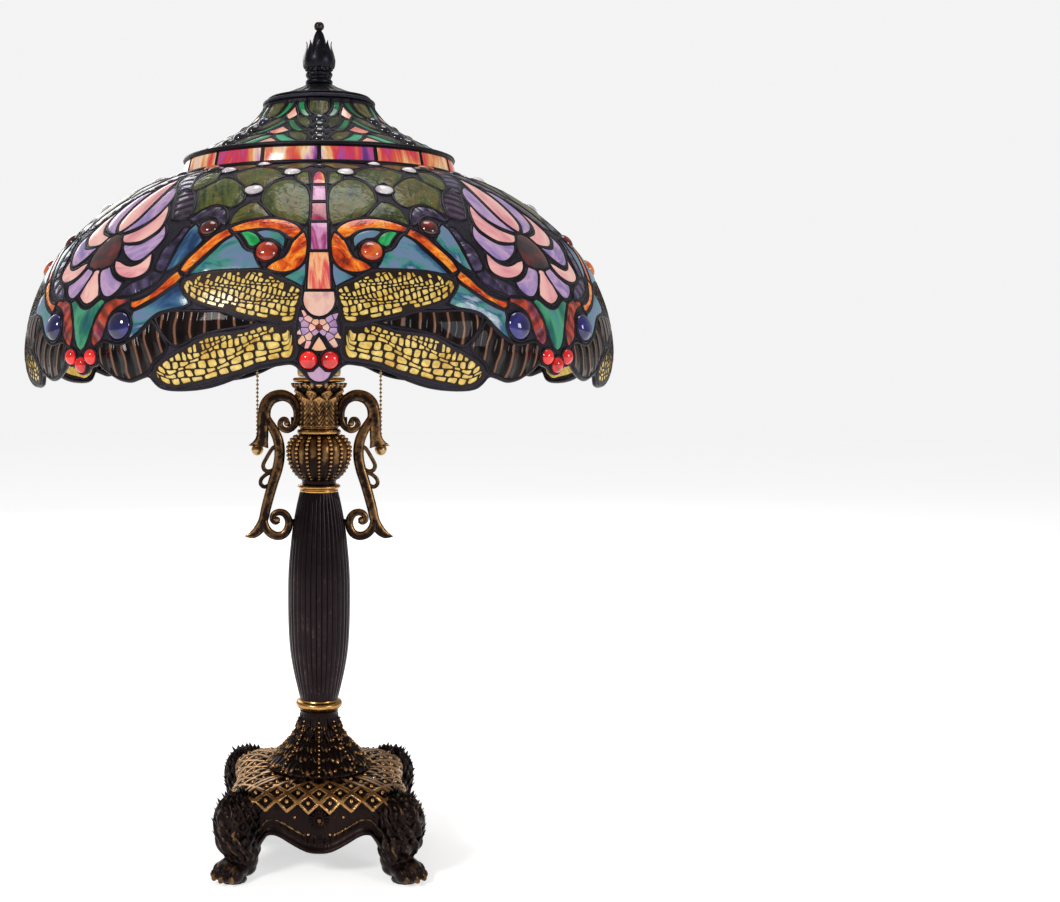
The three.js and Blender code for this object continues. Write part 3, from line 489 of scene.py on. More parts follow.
# Glass outlines: angle in degrees from a dragonfly's middle, and distance down the surface in mm.
PIECES = [
    ('tail1', 'flame', 'a0', [(0.0, 34.86), (0.94, 38.18), (1.44, 46.91), (1.43, 55.61), (0.0, 55.64)]),
    ('tail2', 'body', 'a0', [(0.0, 59.29), (1.46, 59.28), (1.46, 77.63), (0.0, 77.64)]),
    ('tail3', 'bodyred', 'a0', [(0.0, 81.0), (1.51, 80.99), (1.52, 99.37), (0.0, 99.38)]),
    ('tail4', 'body', 'a0', [(0.0, 102.03), (1.56, 102.02), (1.47, 124.94), (0.0, 124.94)]),
    ('tail5', 'bodyhot', 'a0', [(0.0, 127.31), (1.63, 127.3), (1.83, 140.58), (1.94, 153.95), (0.0, 153.95)]),
    ('chest', 'blush', 'a0', [(0.0, 155.8), (2.43, 155.79), (2.56, 162.05), (2.18, 166.67), (1.33, 170.46), (0.0, 172.08)]),
    ('brow', 'peach', 'a0', [(0.0, 185.03), (0.68, 189.15), (1.3, 193.56), (0.0, 194.19)]),
    ('chin', 'lilac', 'a0', [(0.0, 203.69), (0.45, 205.29), (0.92, 207.21), (1.96, 207.53), (1.49, 211.08), (0.77, 213.34), (0.0, 213.73)]),
    ('scroll1', 'amber', '', [(17.03, 105.59), (15.41, 102.48), (13.17, 99.31), (10.63, 97.76), (8.01, 98.29), (5.56, 101.41), (3.94, 105.75), (3.33, 108.98), (4.44, 115.55), (5.47, 114.22), (6.68, 110.2), (8.28, 107.39), (10.25, 106.32), (12.75, 107.02), (15.03, 108.61), (16.2, 108.92)]),
    ('scroll2', 'amber', '', [(2.84, 110.79), (2.33, 116.45), (2.22, 123.09), (2.4, 130.92), (2.97, 135.8), (3.88, 139.46), (5.55, 141.6), (7.09, 141.41), (8.32, 140.06), (8.95, 138.94), (8.07, 135.65), (6.9, 133.08), (5.89, 130.84), (5.26, 126.21), (4.81, 120.58), (4.07, 115.56)]),
    ('scroll3', 'amber', '', [(17.67, 106.71), (16.6, 112.01), (17.8, 114.93), (19.5, 121.9), (21.01, 128.94), (22.39, 134.92), (23.65, 141.49), (24.79, 139.15), (23.98, 132.07), (22.64, 125.57), (21.3, 119.17), (19.82, 112.03)]),
    ('scroll4', 'amber', '', [(25.31, 140.42), (24.41, 144.33), (25.3, 148.56), (27.02, 153.36), (28.78, 158.1), (30.68, 161.4), (32.84, 165.34), (33.56, 164.25), (33.63, 161.14), (31.84, 159.91), (29.91, 156.6), (28.17, 151.12), (26.56, 144.46)]),
    ('leaf', 'leaf', '', [(14.72, 110.45), (13.6, 109.4), (12.36, 110.96), (11.26, 114.31), (10.73, 118.19), (11.36, 121.06), (12.06, 122.07), (12.67, 120.95), (13.2, 117.57), (13.96, 113.62)]),
    ('opal1', 'opal', '', [(11.64, 109.86), (10.35, 108.61), (8.4, 109.65), (6.79, 113.29), (6.24, 117.18), (6.39, 122.97), (7.1, 119.66), (8.59, 115.61), (10.1, 114.91)]),
    ('opal2', 'opal', '', [(15.95, 112.97), (14.94, 116.98), (13.89, 122.9), (12.82, 126.19), (11.77, 127.45), (11.26, 131.73), (10.69, 135.9), (10.09, 138.88), (12.72, 139.1), (15.39, 139.51), (18.47, 140.29), (20.85, 141.55), (22.72, 142.31), (21.81, 137.98), (20.44, 131.71), (18.93, 124.82), (17.6, 117.96)]),
    ('opal3', 'opal', '', [(2.37, 135.81), (2.35, 144.16), (2.78, 151.87), (4.3, 148.37), (5.84, 145.52), (4.85, 143.41), (3.36, 139.83)]),
    ('opal4', 'opal', '', [(24.91, 101.39), (23.91, 105.43), (23.13, 111.08), (22.17, 116.07), (22.96, 121.45), (24.3, 127.73), (25.33, 133.05), (26.64, 137.43), (27.73, 139.54), (27.37, 133.54), (27.13, 126.53), (26.8, 118.75), (26.2, 111.88), (25.73, 106.02)]),
    ('opal5', 'opal', '', [(24.45, 149.71), (23.15, 156.48), (22.05, 163.05), (23.55, 165.31), (25.8, 166.65), (27.7, 168.54), (29.17, 172.33), (30.63, 177.92), (31.96, 182.5), (33.18, 185.44), (32.85, 181.47), (32.57, 176.82), (32.99, 171.43), (32.81, 168.06), (30.51, 164.84), (28.27, 160.08), (26.36, 154.47)]),
    ('scale1', 'moss', '', [(8.53, 49.25), (6.33, 50.53), (4.35, 55.47), (2.86, 63.66), (2.17, 74.49), (1.98, 90.72), (2.21, 98.05), (2.74, 102.96), (4.42, 100.48), (6.86, 96.84), (8.79, 93.57), (10.52, 86.64), (12.2, 77.36), (12.36, 66.85), (11.53, 57.27), (10.1, 51.93)]),
    ('scale2', 'moss', '', [(27.87, 49.11), (26.45, 42.32), (23.6, 44.98), (20.77, 51.98), (18.4, 59.23), (17.22, 69.16), (17.07, 76.36), (17.75, 81.57), (18.93, 83.97), (21.02, 80.72), (23.46, 80.0), (25.25, 83.96), (26.9, 89.29), (27.25, 80.27), (28.69, 70.33), (29.98, 61.17), (29.24, 56.08)]),
    ('scale3', 'moss', '', [(13.42, 79.45), (11.82, 85.72), (9.97, 94.52), (12.13, 96.07), (14.69, 97.91), (17.38, 102.21), (17.5, 96.69), (17.05, 88.81), (15.88, 82.75), (14.71, 79.96)]),
    ('scale4', 'moss', '', [(23.57, 37.7), (22.1, 30.41), (19.89, 23.81), (17.2, 21.73), (13.43, 27.49), (10.57, 35.99), (9.46, 44.07), (11.61, 50.67), (13.02, 60.59), (14.49, 55.72), (16.42, 52.39), (17.72, 58.53), (19.45, 52.43), (21.62, 45.77)]),
    ('scale5', 'moss', '', [(5.73, 36.11), (2.96, 36.34), (2.42, 55.58), (3.63, 56.99), (4.88, 52.22), (5.76, 44.59)]),
    ('scale6', 'moss', '', [(34.9, 48.48), (35.12, 38.18), (33.93, 28.27), (30.81, 28.99), (28.91, 44.63), (30.0, 52.54), (31.38, 59.28), (32.88, 57.11)]),
    ('scale7', 'moss', '', [(13.91, 20.19), (9.65, 10.49), (5.54, 4.91), (1.26, 4.97), (2.56, 15.93), (4.92, 27.43), (8.31, 28.21), (11.34, 26.25)]),
    ('scale8', 'moss', '', [(32.57, 9.66), (29.48, 2.57), (24.41, 3.4), (21.29, 10.86), (22.69, 19.83), (24.52, 27.29), (26.6, 23.07)]),
    ('hook', 'mauve', '', [(26.88, 94.84), (26.07, 90.22), (24.61, 85.64), (22.44, 83.33), (20.71, 84.56), (19.51, 89.99), (18.8, 96.48), (18.61, 102.51), (19.62, 99.39), (20.92, 94.85), (22.46, 92.96), (23.98, 93.7), (25.09, 95.98), (26.05, 97.63)]),
    ('edge2', 'plum', '', [(37.9, 53.54), (33.55, 58.59), (30.61, 66.99), (28.64, 79.77), (27.81, 92.49), (29.53, 95.04), (31.51, 93.67), (33.08, 84.09), (34.92, 70.92)]),
    ('edge3', 'mauve', '', [(27.3, 104.28), (26.24, 103.55), (26.32, 107.77), (26.76, 114.88), (27.08, 122.47), (27.49, 129.65), (28.09, 137.62), (28.35, 139.68), (29.73, 138.53), (30.33, 135.42), (30.03, 130.44), (29.92, 124.87), (29.51, 120.39), (28.44, 115.88), (27.85, 111.12)]),
    ('edge4', 'mauve', '', [(30.55, 139.17), (28.52, 141.67), (29.23, 146.34), (30.92, 151.05), (32.86, 154.4), (34.72, 156.83), (36.56, 157.34), (36.19, 153.1), (34.93, 148.55), (33.09, 145.87), (31.57, 142.76)]),
    ('edge1', 'mauve', '', [(44.1, 6.7), (41.2, 4.7), (39.3, 14.3), (38.2, 34.0), (34.9, 50.1), (33.2, 59.5), (36.4, 61.7), (40.1, 49.6), (43.0, 35.2)]),
    ('petal0', 'pink', 'a45', [(45.0, 34.75), (43.36, 46.75), (42.14, 63.77), (41.99, 79.87), (42.56, 92.47), (43.77, 99.49), (45.0, 103.21)]),
    ('petal1', 'lavender', '', [(40.97, 52.25), (39.03, 55.89), (37.13, 65.39), (36.54, 76.4), (36.85, 86.65), (38.05, 94.32), (39.96, 99.49), (42.06, 102.75), (43.79, 104.35), (42.31, 97.94), (41.33, 89.99), (40.84, 74.53)]),
    ('petal2', 'pink', '', [(35.92, 78.13), (34.77, 83.28), (33.67, 93.09), (33.32, 100.9), (33.89, 105.93), (35.08, 110.37), (36.57, 113.67), (38.53, 114.53), (40.84, 114.1), (42.07, 111.51), (42.72, 107.81), (41.1, 106.11), (39.03, 103.21), (37.19, 96.74), (36.09, 88.32)]),
    ('petal3', 'lavender', '', [(32.46, 100.9), (31.65, 105.25), (31.05, 111.25), (31.5, 117.67), (32.74, 124.49), (34.23, 129.5), (35.99, 130.43), (37.82, 127.25), (39.39, 122.57), (40.52, 117.84), (40.31, 116.66), (38.23, 117.67), (36.01, 116.83), (34.2, 112.55), (32.8, 107.27)]),
    ('petal4', 'pink', '', [(32.23, 125.64), (31.84, 131.27), (31.8, 137.02), (32.44, 140.55), (33.86, 143.1), (35.71, 143.66), (37.83, 141.79), (39.3, 138.54), (40.27, 134.3), (40.68, 129.87), (39.28, 131.27), (37.54, 134.12), (35.77, 135.12), (33.89, 132.65)]),
    ('petal5', 'lavender', '', [(41.68, 134.67), (40.76, 138.79), (39.6, 142.67), (38.1, 145.76), (37.01, 146.99), (37.41, 151.23), (38.47, 154.93), (39.42, 156.52), (40.65, 155.89), (41.87, 151.55), (43.01, 145.33), (43.8, 139.54), (43.49, 136.9), (42.58, 135.12)]),
    ('petal6', 'pink', 'a45', [(45.0, 135.88), (44.32, 137.02), (43.69, 142.98), (42.94, 148.86), (42.31, 155.44), (43.18, 158.29), (44.09, 160.29), (45.0, 161.23)]),
    ('heartline', 'ruby', 'a45', [(45.0, 105.48), (43.31, 107.81), (42.09, 112.98), (41.26, 119.64), (41.04, 127.06), (41.65, 132.19), (43.02, 134.48), (45.0, 134.74)]),
    ('opal6', 'opalgreen', 'a45', [(45.0, 165.78), (43.29, 164.09), (41.96, 160.48), (40.95, 158.73), (40.14, 160.29), (40.78, 165.78), (41.72, 171.88), (42.64, 178.59), (43.29, 185.74), (44.16, 191.43), (45.0, 193.35)]),
    ('claw', 'redripple', '', [(34.65, 158.22), (34.48, 160.92), (35.92, 162.78), (37.45, 165.78), (38.5, 170.74), (38.97, 178.24), (39.39, 183.6), (40.28, 187.74), (41.49, 190.36), (41.93, 186.81), (42.01, 179.67), (41.73, 172.64), (40.9, 166.7), (39.75, 161.78), (38.23, 159.23), (36.46, 157.97)]),
    ('lobe1', 'umber', '', [(40.36, 197.94), (39.82, 190.58), (38.87, 188.26), (35.53, 190.34), (33.34, 188.41), (31.29, 184.18), (29.77, 178.95), (28.77, 175.35), (27.52, 181.02), (26.45, 185.96), (25.62, 190.84), (26.18, 194.72), (27.38, 198.28), (28.54, 201.89), (29.27, 206.51), (31.12, 209.54), (33.61, 212.5), (36.02, 210.88), (38.2, 206.68), (39.74, 201.98)]),
    ('lobe2', 'umber', '', [(27.95, 172.73), (26.66, 169.81), (24.97, 168.44), (22.52, 168.44), (19.78, 169.1), (17.13, 168.95), (14.86, 170.67), (13.13, 173.46), (11.11, 175.0), (9.95, 176.32), (11.91, 177.57), (14.07, 178.82), (16.42, 180.25), (18.47, 182.14), (20.55, 184.93), (22.3, 188.32), (23.94, 190.09), (25.29, 186.64), (26.75, 180.39)]),
]
WINGS = {
    'upper': [(3.18, 153.94), (3.76, 152.9), (5.11, 150.45), (6.48, 148.32), (7.88, 145.11), (9.48, 142.4), (11.76, 141.64), (14.42, 141.48), (18.02, 142.01), (20.74, 143.59), (22.52, 145.95), (23.57, 148.01), (23.71, 150.84), (23.15, 154.39), (22.24, 157.93), (20.73, 161.1), (18.66, 163.91), (16.32, 166.34), (13.7, 169.07), (11.15, 171.56), (8.67, 173.23), (6.22, 175.08), (4.29, 175.42), (3.85, 173.17), (3.57, 166.66), (3.18, 159.37)],
    'lower': [(4.27, 179.28), (6.19, 179.58), (8.63, 178.01), (10.24, 180.04), (11.87, 182.2), (13.51, 183.52), (16.03, 184.25), (18.25, 185.81), (19.98, 188.55), (21.73, 192.38), (23.56, 195.7), (25.28, 199.26), (26.68, 202.4), (27.67, 205.16), (27.98, 208.47), (27.54, 211.98), (26.27, 214.87), (24.8, 216.69), (22.49, 215.16), (19.73, 213.57), (17.57, 211.55), (15.64, 209.57), (13.57, 207.27), (11.55, 204.36), (9.72, 201.54), (7.77, 199.94), (5.84, 198.67), (4.41, 198.04), (3.81, 194.82), (4.04, 187.24)],
    'thorax': [(0.05, 173.83), (1.41, 171.89), (2.38, 168.31), (2.95, 167.32), (3.18, 171.88), (3.4, 175.75), (3.55, 180.88), (3.49, 187.24), (3.13, 191.04), (2.18, 193.24), (1.63, 192.93), (1.0, 187.88), (0.44, 184.39), (0.05, 182.8)],
}
RIM = [(0.0, 214.51), (0.85, 213.99), (1.65, 211.72), (2.28, 208.5), (2.99, 204.85), (3.54, 202.42), (4.1, 201.34), (4.73, 201.15), (6.98, 202.56), (9.09, 203.84), (10.73, 205.45), (12.08, 207.71), (13.97, 211.5), (16.25, 214.81), (18.4, 217.23), (20.77, 218.7), (23.57, 219.4), (25.86, 219.22), (27.38, 218.0), (28.29, 215.81), (28.76, 212.48), (29.0, 209.55), (29.67, 209.57), (31.18, 211.21), (33.47, 214.18), (35.66, 212.97), (37.38, 209.71), (39.13, 205.55), (40.2, 201.6), (41.1, 200.6), (42.2, 203.8), (43.0, 204.6), (43.8, 206.5), (44.4, 209.0), (45.0, 209.8)]
JEWELS = [
    ('eye', 'red', 1.711, 199.88, 5.7, 5.7, 0.75),
    ('amberA', 'garnet', 21.658, 105.17, 6.4, 6.4, 0.55),
    ('amberB', 'ember', 9.269, 126.43, 7.3, 7.3, 0.55),
    ('seed1', 'nugget', 15.278, 64.48, 6.2, 5.2, 0.55),
    ('seed2', 'nugget', 7.473, 36.99, 5.8, 4.6, 0.55),
    ('seed3', 'nugget', 28.204, 27.32, 5.4, 5.0, 0.55),
    ('seed4', 'nugget', 19.556, 8.63, 4.6, 4.2, 0.55),
    ('cobalt', 'cobalt', 35.591, 177.16, 9.6, 9.6, 0.5),
    ('berry1', 'red', 45.0, 203.35, 5.5, 5.5, 0.75),
    ('berry2', 'red', 42.192, 197.85, 5.4, 5.4, 0.75),
    ('topaz', 'topaz', 45.0, 2.5, 9.0, 5.4, 0.5),
    ('jet1', 'jet', 36.228, 16.38, 7.6, 4.8, 0.5),
    ('jet0', 'jet', 0.0, 20.26, 3.6, 3.4, 0.55),
]
CROWN_PIECES = [
    ('olive', 'a0', [(0, 2.0), (9.2, 2.0), (8.6, 9), (6.8, 14.5), (3, 17.8), (0, 18.5)]),
    ('emerald', '', [(14.3, 2.2), (20.6, 2.0), (18.6, 9), (14.6, 16), (10.2, 21.2), (7.6, 19.8), (11.6, 13.6), (13.8, 7.6)]),
    ('salmon', 'a22', [(22.5, 8.5), (20.4, 13.0), (17.9, 18.5), (20.6, 22.5), (22.5, 24.8)]),
    ('olive', '', [(16.0, 21.8), (12.3, 21.3), (8.3, 24.5), (5.9, 32), (7.2, 41), (11.4, 35), (14.6, 28)]),
    ('emerald', '', [(18.6, 26), (21.6, 27.5), (19.2, 34), (15.2, 43), (11, 49.4), (8.2, 47.6), (11.8, 41), (15.5, 33)]),
    ('salmon', 'a22', [(22.5, 38.2), (19.6, 42.5), (16.6, 47), (19.6, 51.8), (22.5, 53.8)]),
    ('olive', '', [(15.8, 52.8), (12, 51.5), (7.6, 55.5), (5.8, 64), (6.6, 71), (10, 68.4), (13.4, 61)]),
    ('mint', '', [(17.4, 56.3), (21.8, 57), (18.6, 66.5), (13.6, 75.0), (7.6, 76.4), (5.2, 75.4), (9.6, 71.6), (14, 64)]),
    ('salmon', 'a22', [(22.5, 63), (19.6, 68.5), (17.6, 73.0), (19.8, 75.8), (22.5, 76.4)]),
]
CAM_D, CAM_Z, CAM_LENS, CAM_SHIFT_X, CAM_SHIFT_Y = 1.1, 0.3908, 46.99, 0.1990, -0.0877


# ------------------------------------------------------------------ the shade's surface
SKIRT = [(109.0, 530.6), (121.0, 527.4), (137.0, 522.2), (151.0, 515.0), (162.5, 507.6), (173.0, 499.6), (184.5, 489.6), (195.5, 478.6),
         (205.0, 466.6), (212.5, 454.4), (219.0, 440.4), (224.0, 425.6), (227.2, 409.6), (228.4, 396.4), (227.6, 386.4), (225.6, 375.4), (222.8, 364.4)]
CROWN = [(43.8, 590.0), (44.6, 586.2), (54.8, 574.1), (71.9, 562.6), (84.4, 556.0), (95.3, 550.4), (105.0, 545.3)]
BAND = [(105.2, 544.9), (108.4, 531.6)]


class Surface:
    """A surface of revolution as (angle in degrees, distance down the profile, height off it)."""

    def __init__(self, pts, smooth=True):
        F = catmull(pts, 12) if smooth else np.array(pts, float)
        S = arc_length(F)
        self.length = S[-1]
        self.s = np.arange(-3, S[-1] + 3, 0.5)
        e0, e1 = F[1] - F[0], F[-1] - F[-2]
        e0, e1 = e0 / np.linalg.norm(e0), e1 / np.linalg.norm(e1)
        F = np.vstack([F[0] - 10 * e0, F, F[-1] + 10 * e1])
        S = np.concatenate([[-10], S, [S[-1] + 10]])
        self.r = np.interp(self.s, S, F[:, 0])
        self.z = np.interp(self.s, S, F[:, 1])
        dr, dz = np.gradient(self.r), np.gradient(self.z)
        k = np.ones(9) / 9
        if smooth:
            dr, dz = np.convolve(np.pad(dr, 4, "edge"), k, "valid"), np.convolve(np.pad(dz, 4, "edge"), k, "valid")
        L = np.hypot(dr, dz)
        self.nr, self.nz = -dz / L, dr / L

    def R(self, s):
        return np.interp(s, self.s, self.r)

    def put(self, tsh, sign=1, turn=0.0):
        """(theta, s, h) rows to millimetres. theta grows either way from the dragonfly at the front."""
        t, s, h = np.asarray(tsh, float).T
        a = np.radians(-90 + turn + sign * t)
        r = np.interp(s, self.s, self.r) + h * np.interp(s, self.s, self.nr)
        z = np.interp(s, self.s, self.z) + h * np.interp(s, self.s, self.nz)
        return np.stack([r * np.cos(a), r * np.sin(a), z], 1)


SK, CR, BD = Surface(SKIRT), Surface(CROWN), Surface(BAND, False)


def to_uv(pts, tc, su):
    p = np.asarray(pts, float)
    return np.stack([np.radians(p[:, 0] - tc) * su.R(p[:, 1]), p[:, 1]], 1)


def from_uv(uv, tc, su):
    return np.stack([tc + np.degrees(uv[:, 0] / su.R(uv[:, 1])), uv[:, 1]], 1)


def area_of(P):
    x, y = P[:, 0], P[:, 1]
    return 0.5 * np.sum(x * np.roll(y, -1) - np.roll(x, -1) * y)


def tidy(P):
    P = np.asarray(P, float)
    keep = np.linalg.norm(P - np.roll(P, 1, 0), axis=1) > 0.15
    P = P[keep]
    return P if area_of(P) > 0 else P[::-1]


def smooth_loop(P, step=2.6, corner=48):
    """Rounds a digitised outline, keeping its sharp corners."""
    P = tidy(P)
    n = len(P)
    d = np.roll(P, -1, 0) - P
    ang = np.arctan2(d[:, 1], d[:, 0])
    turn = np.degrees(np.abs((ang - np.roll(ang, 1) + np.pi) % (2 * np.pi) - np.pi))
    hard = turn > corner
    out = []
    for i in range(n):
        a, b, c, e = P[i - 1], P[i], P[(i + 1) % n], P[(i + 2) % n]
        if hard[i]:
            a = b - (c - b)
        if hard[(i + 1) % n]:
            e = c + (c - b)
        k = max(1, int(round(np.linalg.norm(c - b) / step)))
        for j in range(k):
            t = j / k
            out.append(0.5 * (2 * b + (c - a) * t + (2 * a - 5 * b + 4 * c - e) * t * t + (3 * b - a - 3 * c + e) * t**3))
    return np.array(out)


def inside(P, Q):
    """Which points Q lie in polygon P."""
    x, y = Q[:, 0][:, None], Q[:, 1][:, None]
    x0, y0 = P[:, 0][None], P[:, 1][None]
    x1, y1 = np.roll(P[:, 0], -1)[None], np.roll(P[:, 1], -1)[None]
    hit = ((y0 > y) != (y1 > y)) & (x < (x1 - x0) * (y - y0) / (y1 - y0 + 1e-12) + x0)
    return hit.sum(1) % 2 == 1


def edge_dist(P, Q):
    A, B = P[None], np.roll(P, -1, 0)[None]
    q = Q[:, None]
    ab = B - A
    t = np.clip(((q - A) * ab).sum(2) / ((ab * ab).sum(2) + 1e-12), 0, 1)
    return np.sqrt(((q - A - t[..., None] * ab) ** 2).sum(2)).min(1)


def fill(loop, extra=None, holes=()):
    """Triangles inside a loop, less its holes."""
    pts = [loop] + list(holes)
    faces, k = [], 0
    for p in pts:
        faces.append(list(range(k, k + len(p))))
        k += len(p)
    P = np.vstack(pts + ([extra] if extra is not None and len(extra) else []))
    v, _, f, *_ = delaunay_2d_cdt([Vector(p) for p in P.tolist()], [], faces, 2 if holes else 1, 1e-4)
    return np.array([tuple(x) for x in v]), [tuple(x) for x in f]


def slab(v, f, top, bottom):
    """A closed plate over the triangles f."""
    n = len(v)
    V = np.vstack([np.column_stack([v, top]), np.column_stack([v, bottom])])
    F = []
    edges = {}
    for t in f:
        F.append(t)
        F.append(tuple(i + n for i in t[::-1]))
        for i in range(len(t)):
            edges[(t[i], t[(i + 1) % len(t)])] = True
    for (a, b) in edges:
        if (b, a) not in edges:
            F.append((a, a + n, b + n, b))
    return V, F


def grid_in(P, step, margin):
    lo, hi = P.min(0), P.max(0)
    pts = []
    y, row = lo[1] + step * 0.4, 0
    while y < hi[1]:
        for x in np.arange(lo[0] + (step / 2 if row % 2 else 0), hi[0], step):
            pts.append((x, y))
        y += step * 0.866
        row += 1
    if not pts:
        return np.zeros((0, 2))
    Q = np.array(pts)
    Q = Q[inside(P, Q)]
    return Q[edge_dist(P, Q) > margin] if len(Q) else Q


def offset_normals(P):
    """Outward mitred normals of an anticlockwise loop."""
    d = np.roll(P, -1, 0) - P
    d /= np.linalg.norm(d, axis=1)[:, None] + 1e-9
    n = np.stack([d[:, 1], -d[:, 0]], 1)
    m = n + np.roll(n, 1, 0)
    k = np.linalg.norm(m, axis=1)[:, None]
    m = m / (k + 1e-9)
    c = np.clip((m * n).sum(1), 0.55, 1)[:, None]
    return m / c


class Proto:
    """Parts in (theta, s, h), placed several times round the shade."""

    def __init__(self, su):
        self.su, self.parts = su, []

    def add(self, uvh, faces, mat, tc, grain=None):
        tsh = np.column_stack([from_uv(uvh[:, :2], tc, self.su), uvh[:, 2]])
        self.parts.append((tsh, faces, mat, uvh if grain is None else grain))

    def place(self, mesh, sign, turn, salt=0.0, only=None):
        for k, (tsh, f, mat, g) in enumerate(self.parts):
            if only and not only(k):
                continue
            v = self.su.put(tsh, sign, turn)
            faces = [t[::-1] for t in f] if sign > 0 else f
            mesh.add(v, faces, mat, g + np.array([salt * 53.0 + k * 17.3, salt * 31.0 + k * 7.9, k * 3.1]))


CAME = [(-1.25, -2.9), (-0.62, -3.35), (0.62, -3.35), (1.25, -2.9), (1.25, 0.1), (0.72, 0.62), (0.0, 0.8), (-0.72, 0.62), (-1.25, 0.1)]


def came_loop(P, out=0.85, sec=CAME, scale=1.0, lift=0.0):
    """A rounded solder line that runs round an outline."""
    m = offset_normals(P)
    n, k = len(P), len(sec)
    V = []
    for i in range(n):
        for o, h in sec:
            q = P[i] + m[i] * (out + o * scale)
            V.append((q[0], q[1], h + (lift if h > 0 else 0)))
    F = []
    for i in range(n):
        a, b = i * k, ((i + 1) % n) * k
        for j in range(k):
            l = (j + 1) % k
            F.append((a + j, b + j, b + l, a + l))
    return np.array(V), F


def glass_piece(P, dome=0.55, rim=0.3, step=3.6, deep=0.35):
    """A closed, slightly pillowed sheet of glass."""
    v, f = fill(P, grid_in(P, step, 1.5))
    d = edge_dist(P, v)
    lift = 1 - np.exp(-d / 1.6)
    return slab(v, f, rim + dome * lift, -2.55 - deep * lift)


def dome_piece(rx, ry, height, n=22, rings=5, base=-2.4, rim=0.35):
    """A cabochon: side wall, dome and flat back."""
    V, F = [], []
    prof = [(0.96, base), (1.0, -0.2), (1.0, rim)] + [(math.cos(b), rim + height * math.sin(b)) for b in np.linspace(0.16, math.pi / 2, rings)[:-1]]
    V.append((0, 0, base))
    for k, z in prof:
        for i in range(n):
            a = 2 * math.pi * i / n
            V.append((rx * k * math.cos(a), ry * k * math.sin(a), z))
    V.append((0, 0, rim + height))
    for i in range(n):
        j = (i + 1) % n
        F.append((0, 1 + j, 1 + i))
        for r in range(len(prof) - 1):
            a, b = 1 + r * n, 1 + (r + 1) * n
            F.append((a + i, a + j, b + j, b + i))
        F.append((1 + (len(prof) - 1) * n + i, 1 + (len(prof) - 1) * n + j, len(V) - 1))
    return np.array(V), F


def principal(P):
    c = P.mean(0)
    w, e = np.linalg.eigh(np.cov((P - c).T))
    a = e[:, 1]
    return c, a if a[0] + a[1] * 0.3 >= 0 else -a


BARS = {"mauve", "plum", "umber", "redripple"}


def grain_of(V, P, mat, along=None):
    c, a = principal(P) if along is None else (P.mean(0), np.array(along, float))
    b = np.array([-a[1], a[0]])
    q = V[:, :2] - c
    return np.column_stack([q @ a, q @ b, V[:, 2]])


def add_piece(gl, cm, pts, mat, su, tc=None, along=None, lead=True, **kw):
    pts = np.array(pts, float)
    tc = float(pts[:, 0].mean()) if tc is None else tc
    P = smooth_loop(to_uv(pts, tc, su))
    V, F = glass_piece(P, **kw)
    gl.add(V, F, mat, tc, grain_of(V, P, mat, along))
    if lead:
        V, F = came_loop(P, lift=0.04 * rng.random())
        cm.add(V, F, "came", tc)


def full_outline(half, axis):
    """A half outline that starts and ends on an axis, with its mirror image."""
    half = [tuple(p) for p in half]
    other = [(2 * axis - t, s) for t, s in half[::-1]]
    other = [p for p in other if abs(p[0] - axis) > 1e-6]
    return half + other


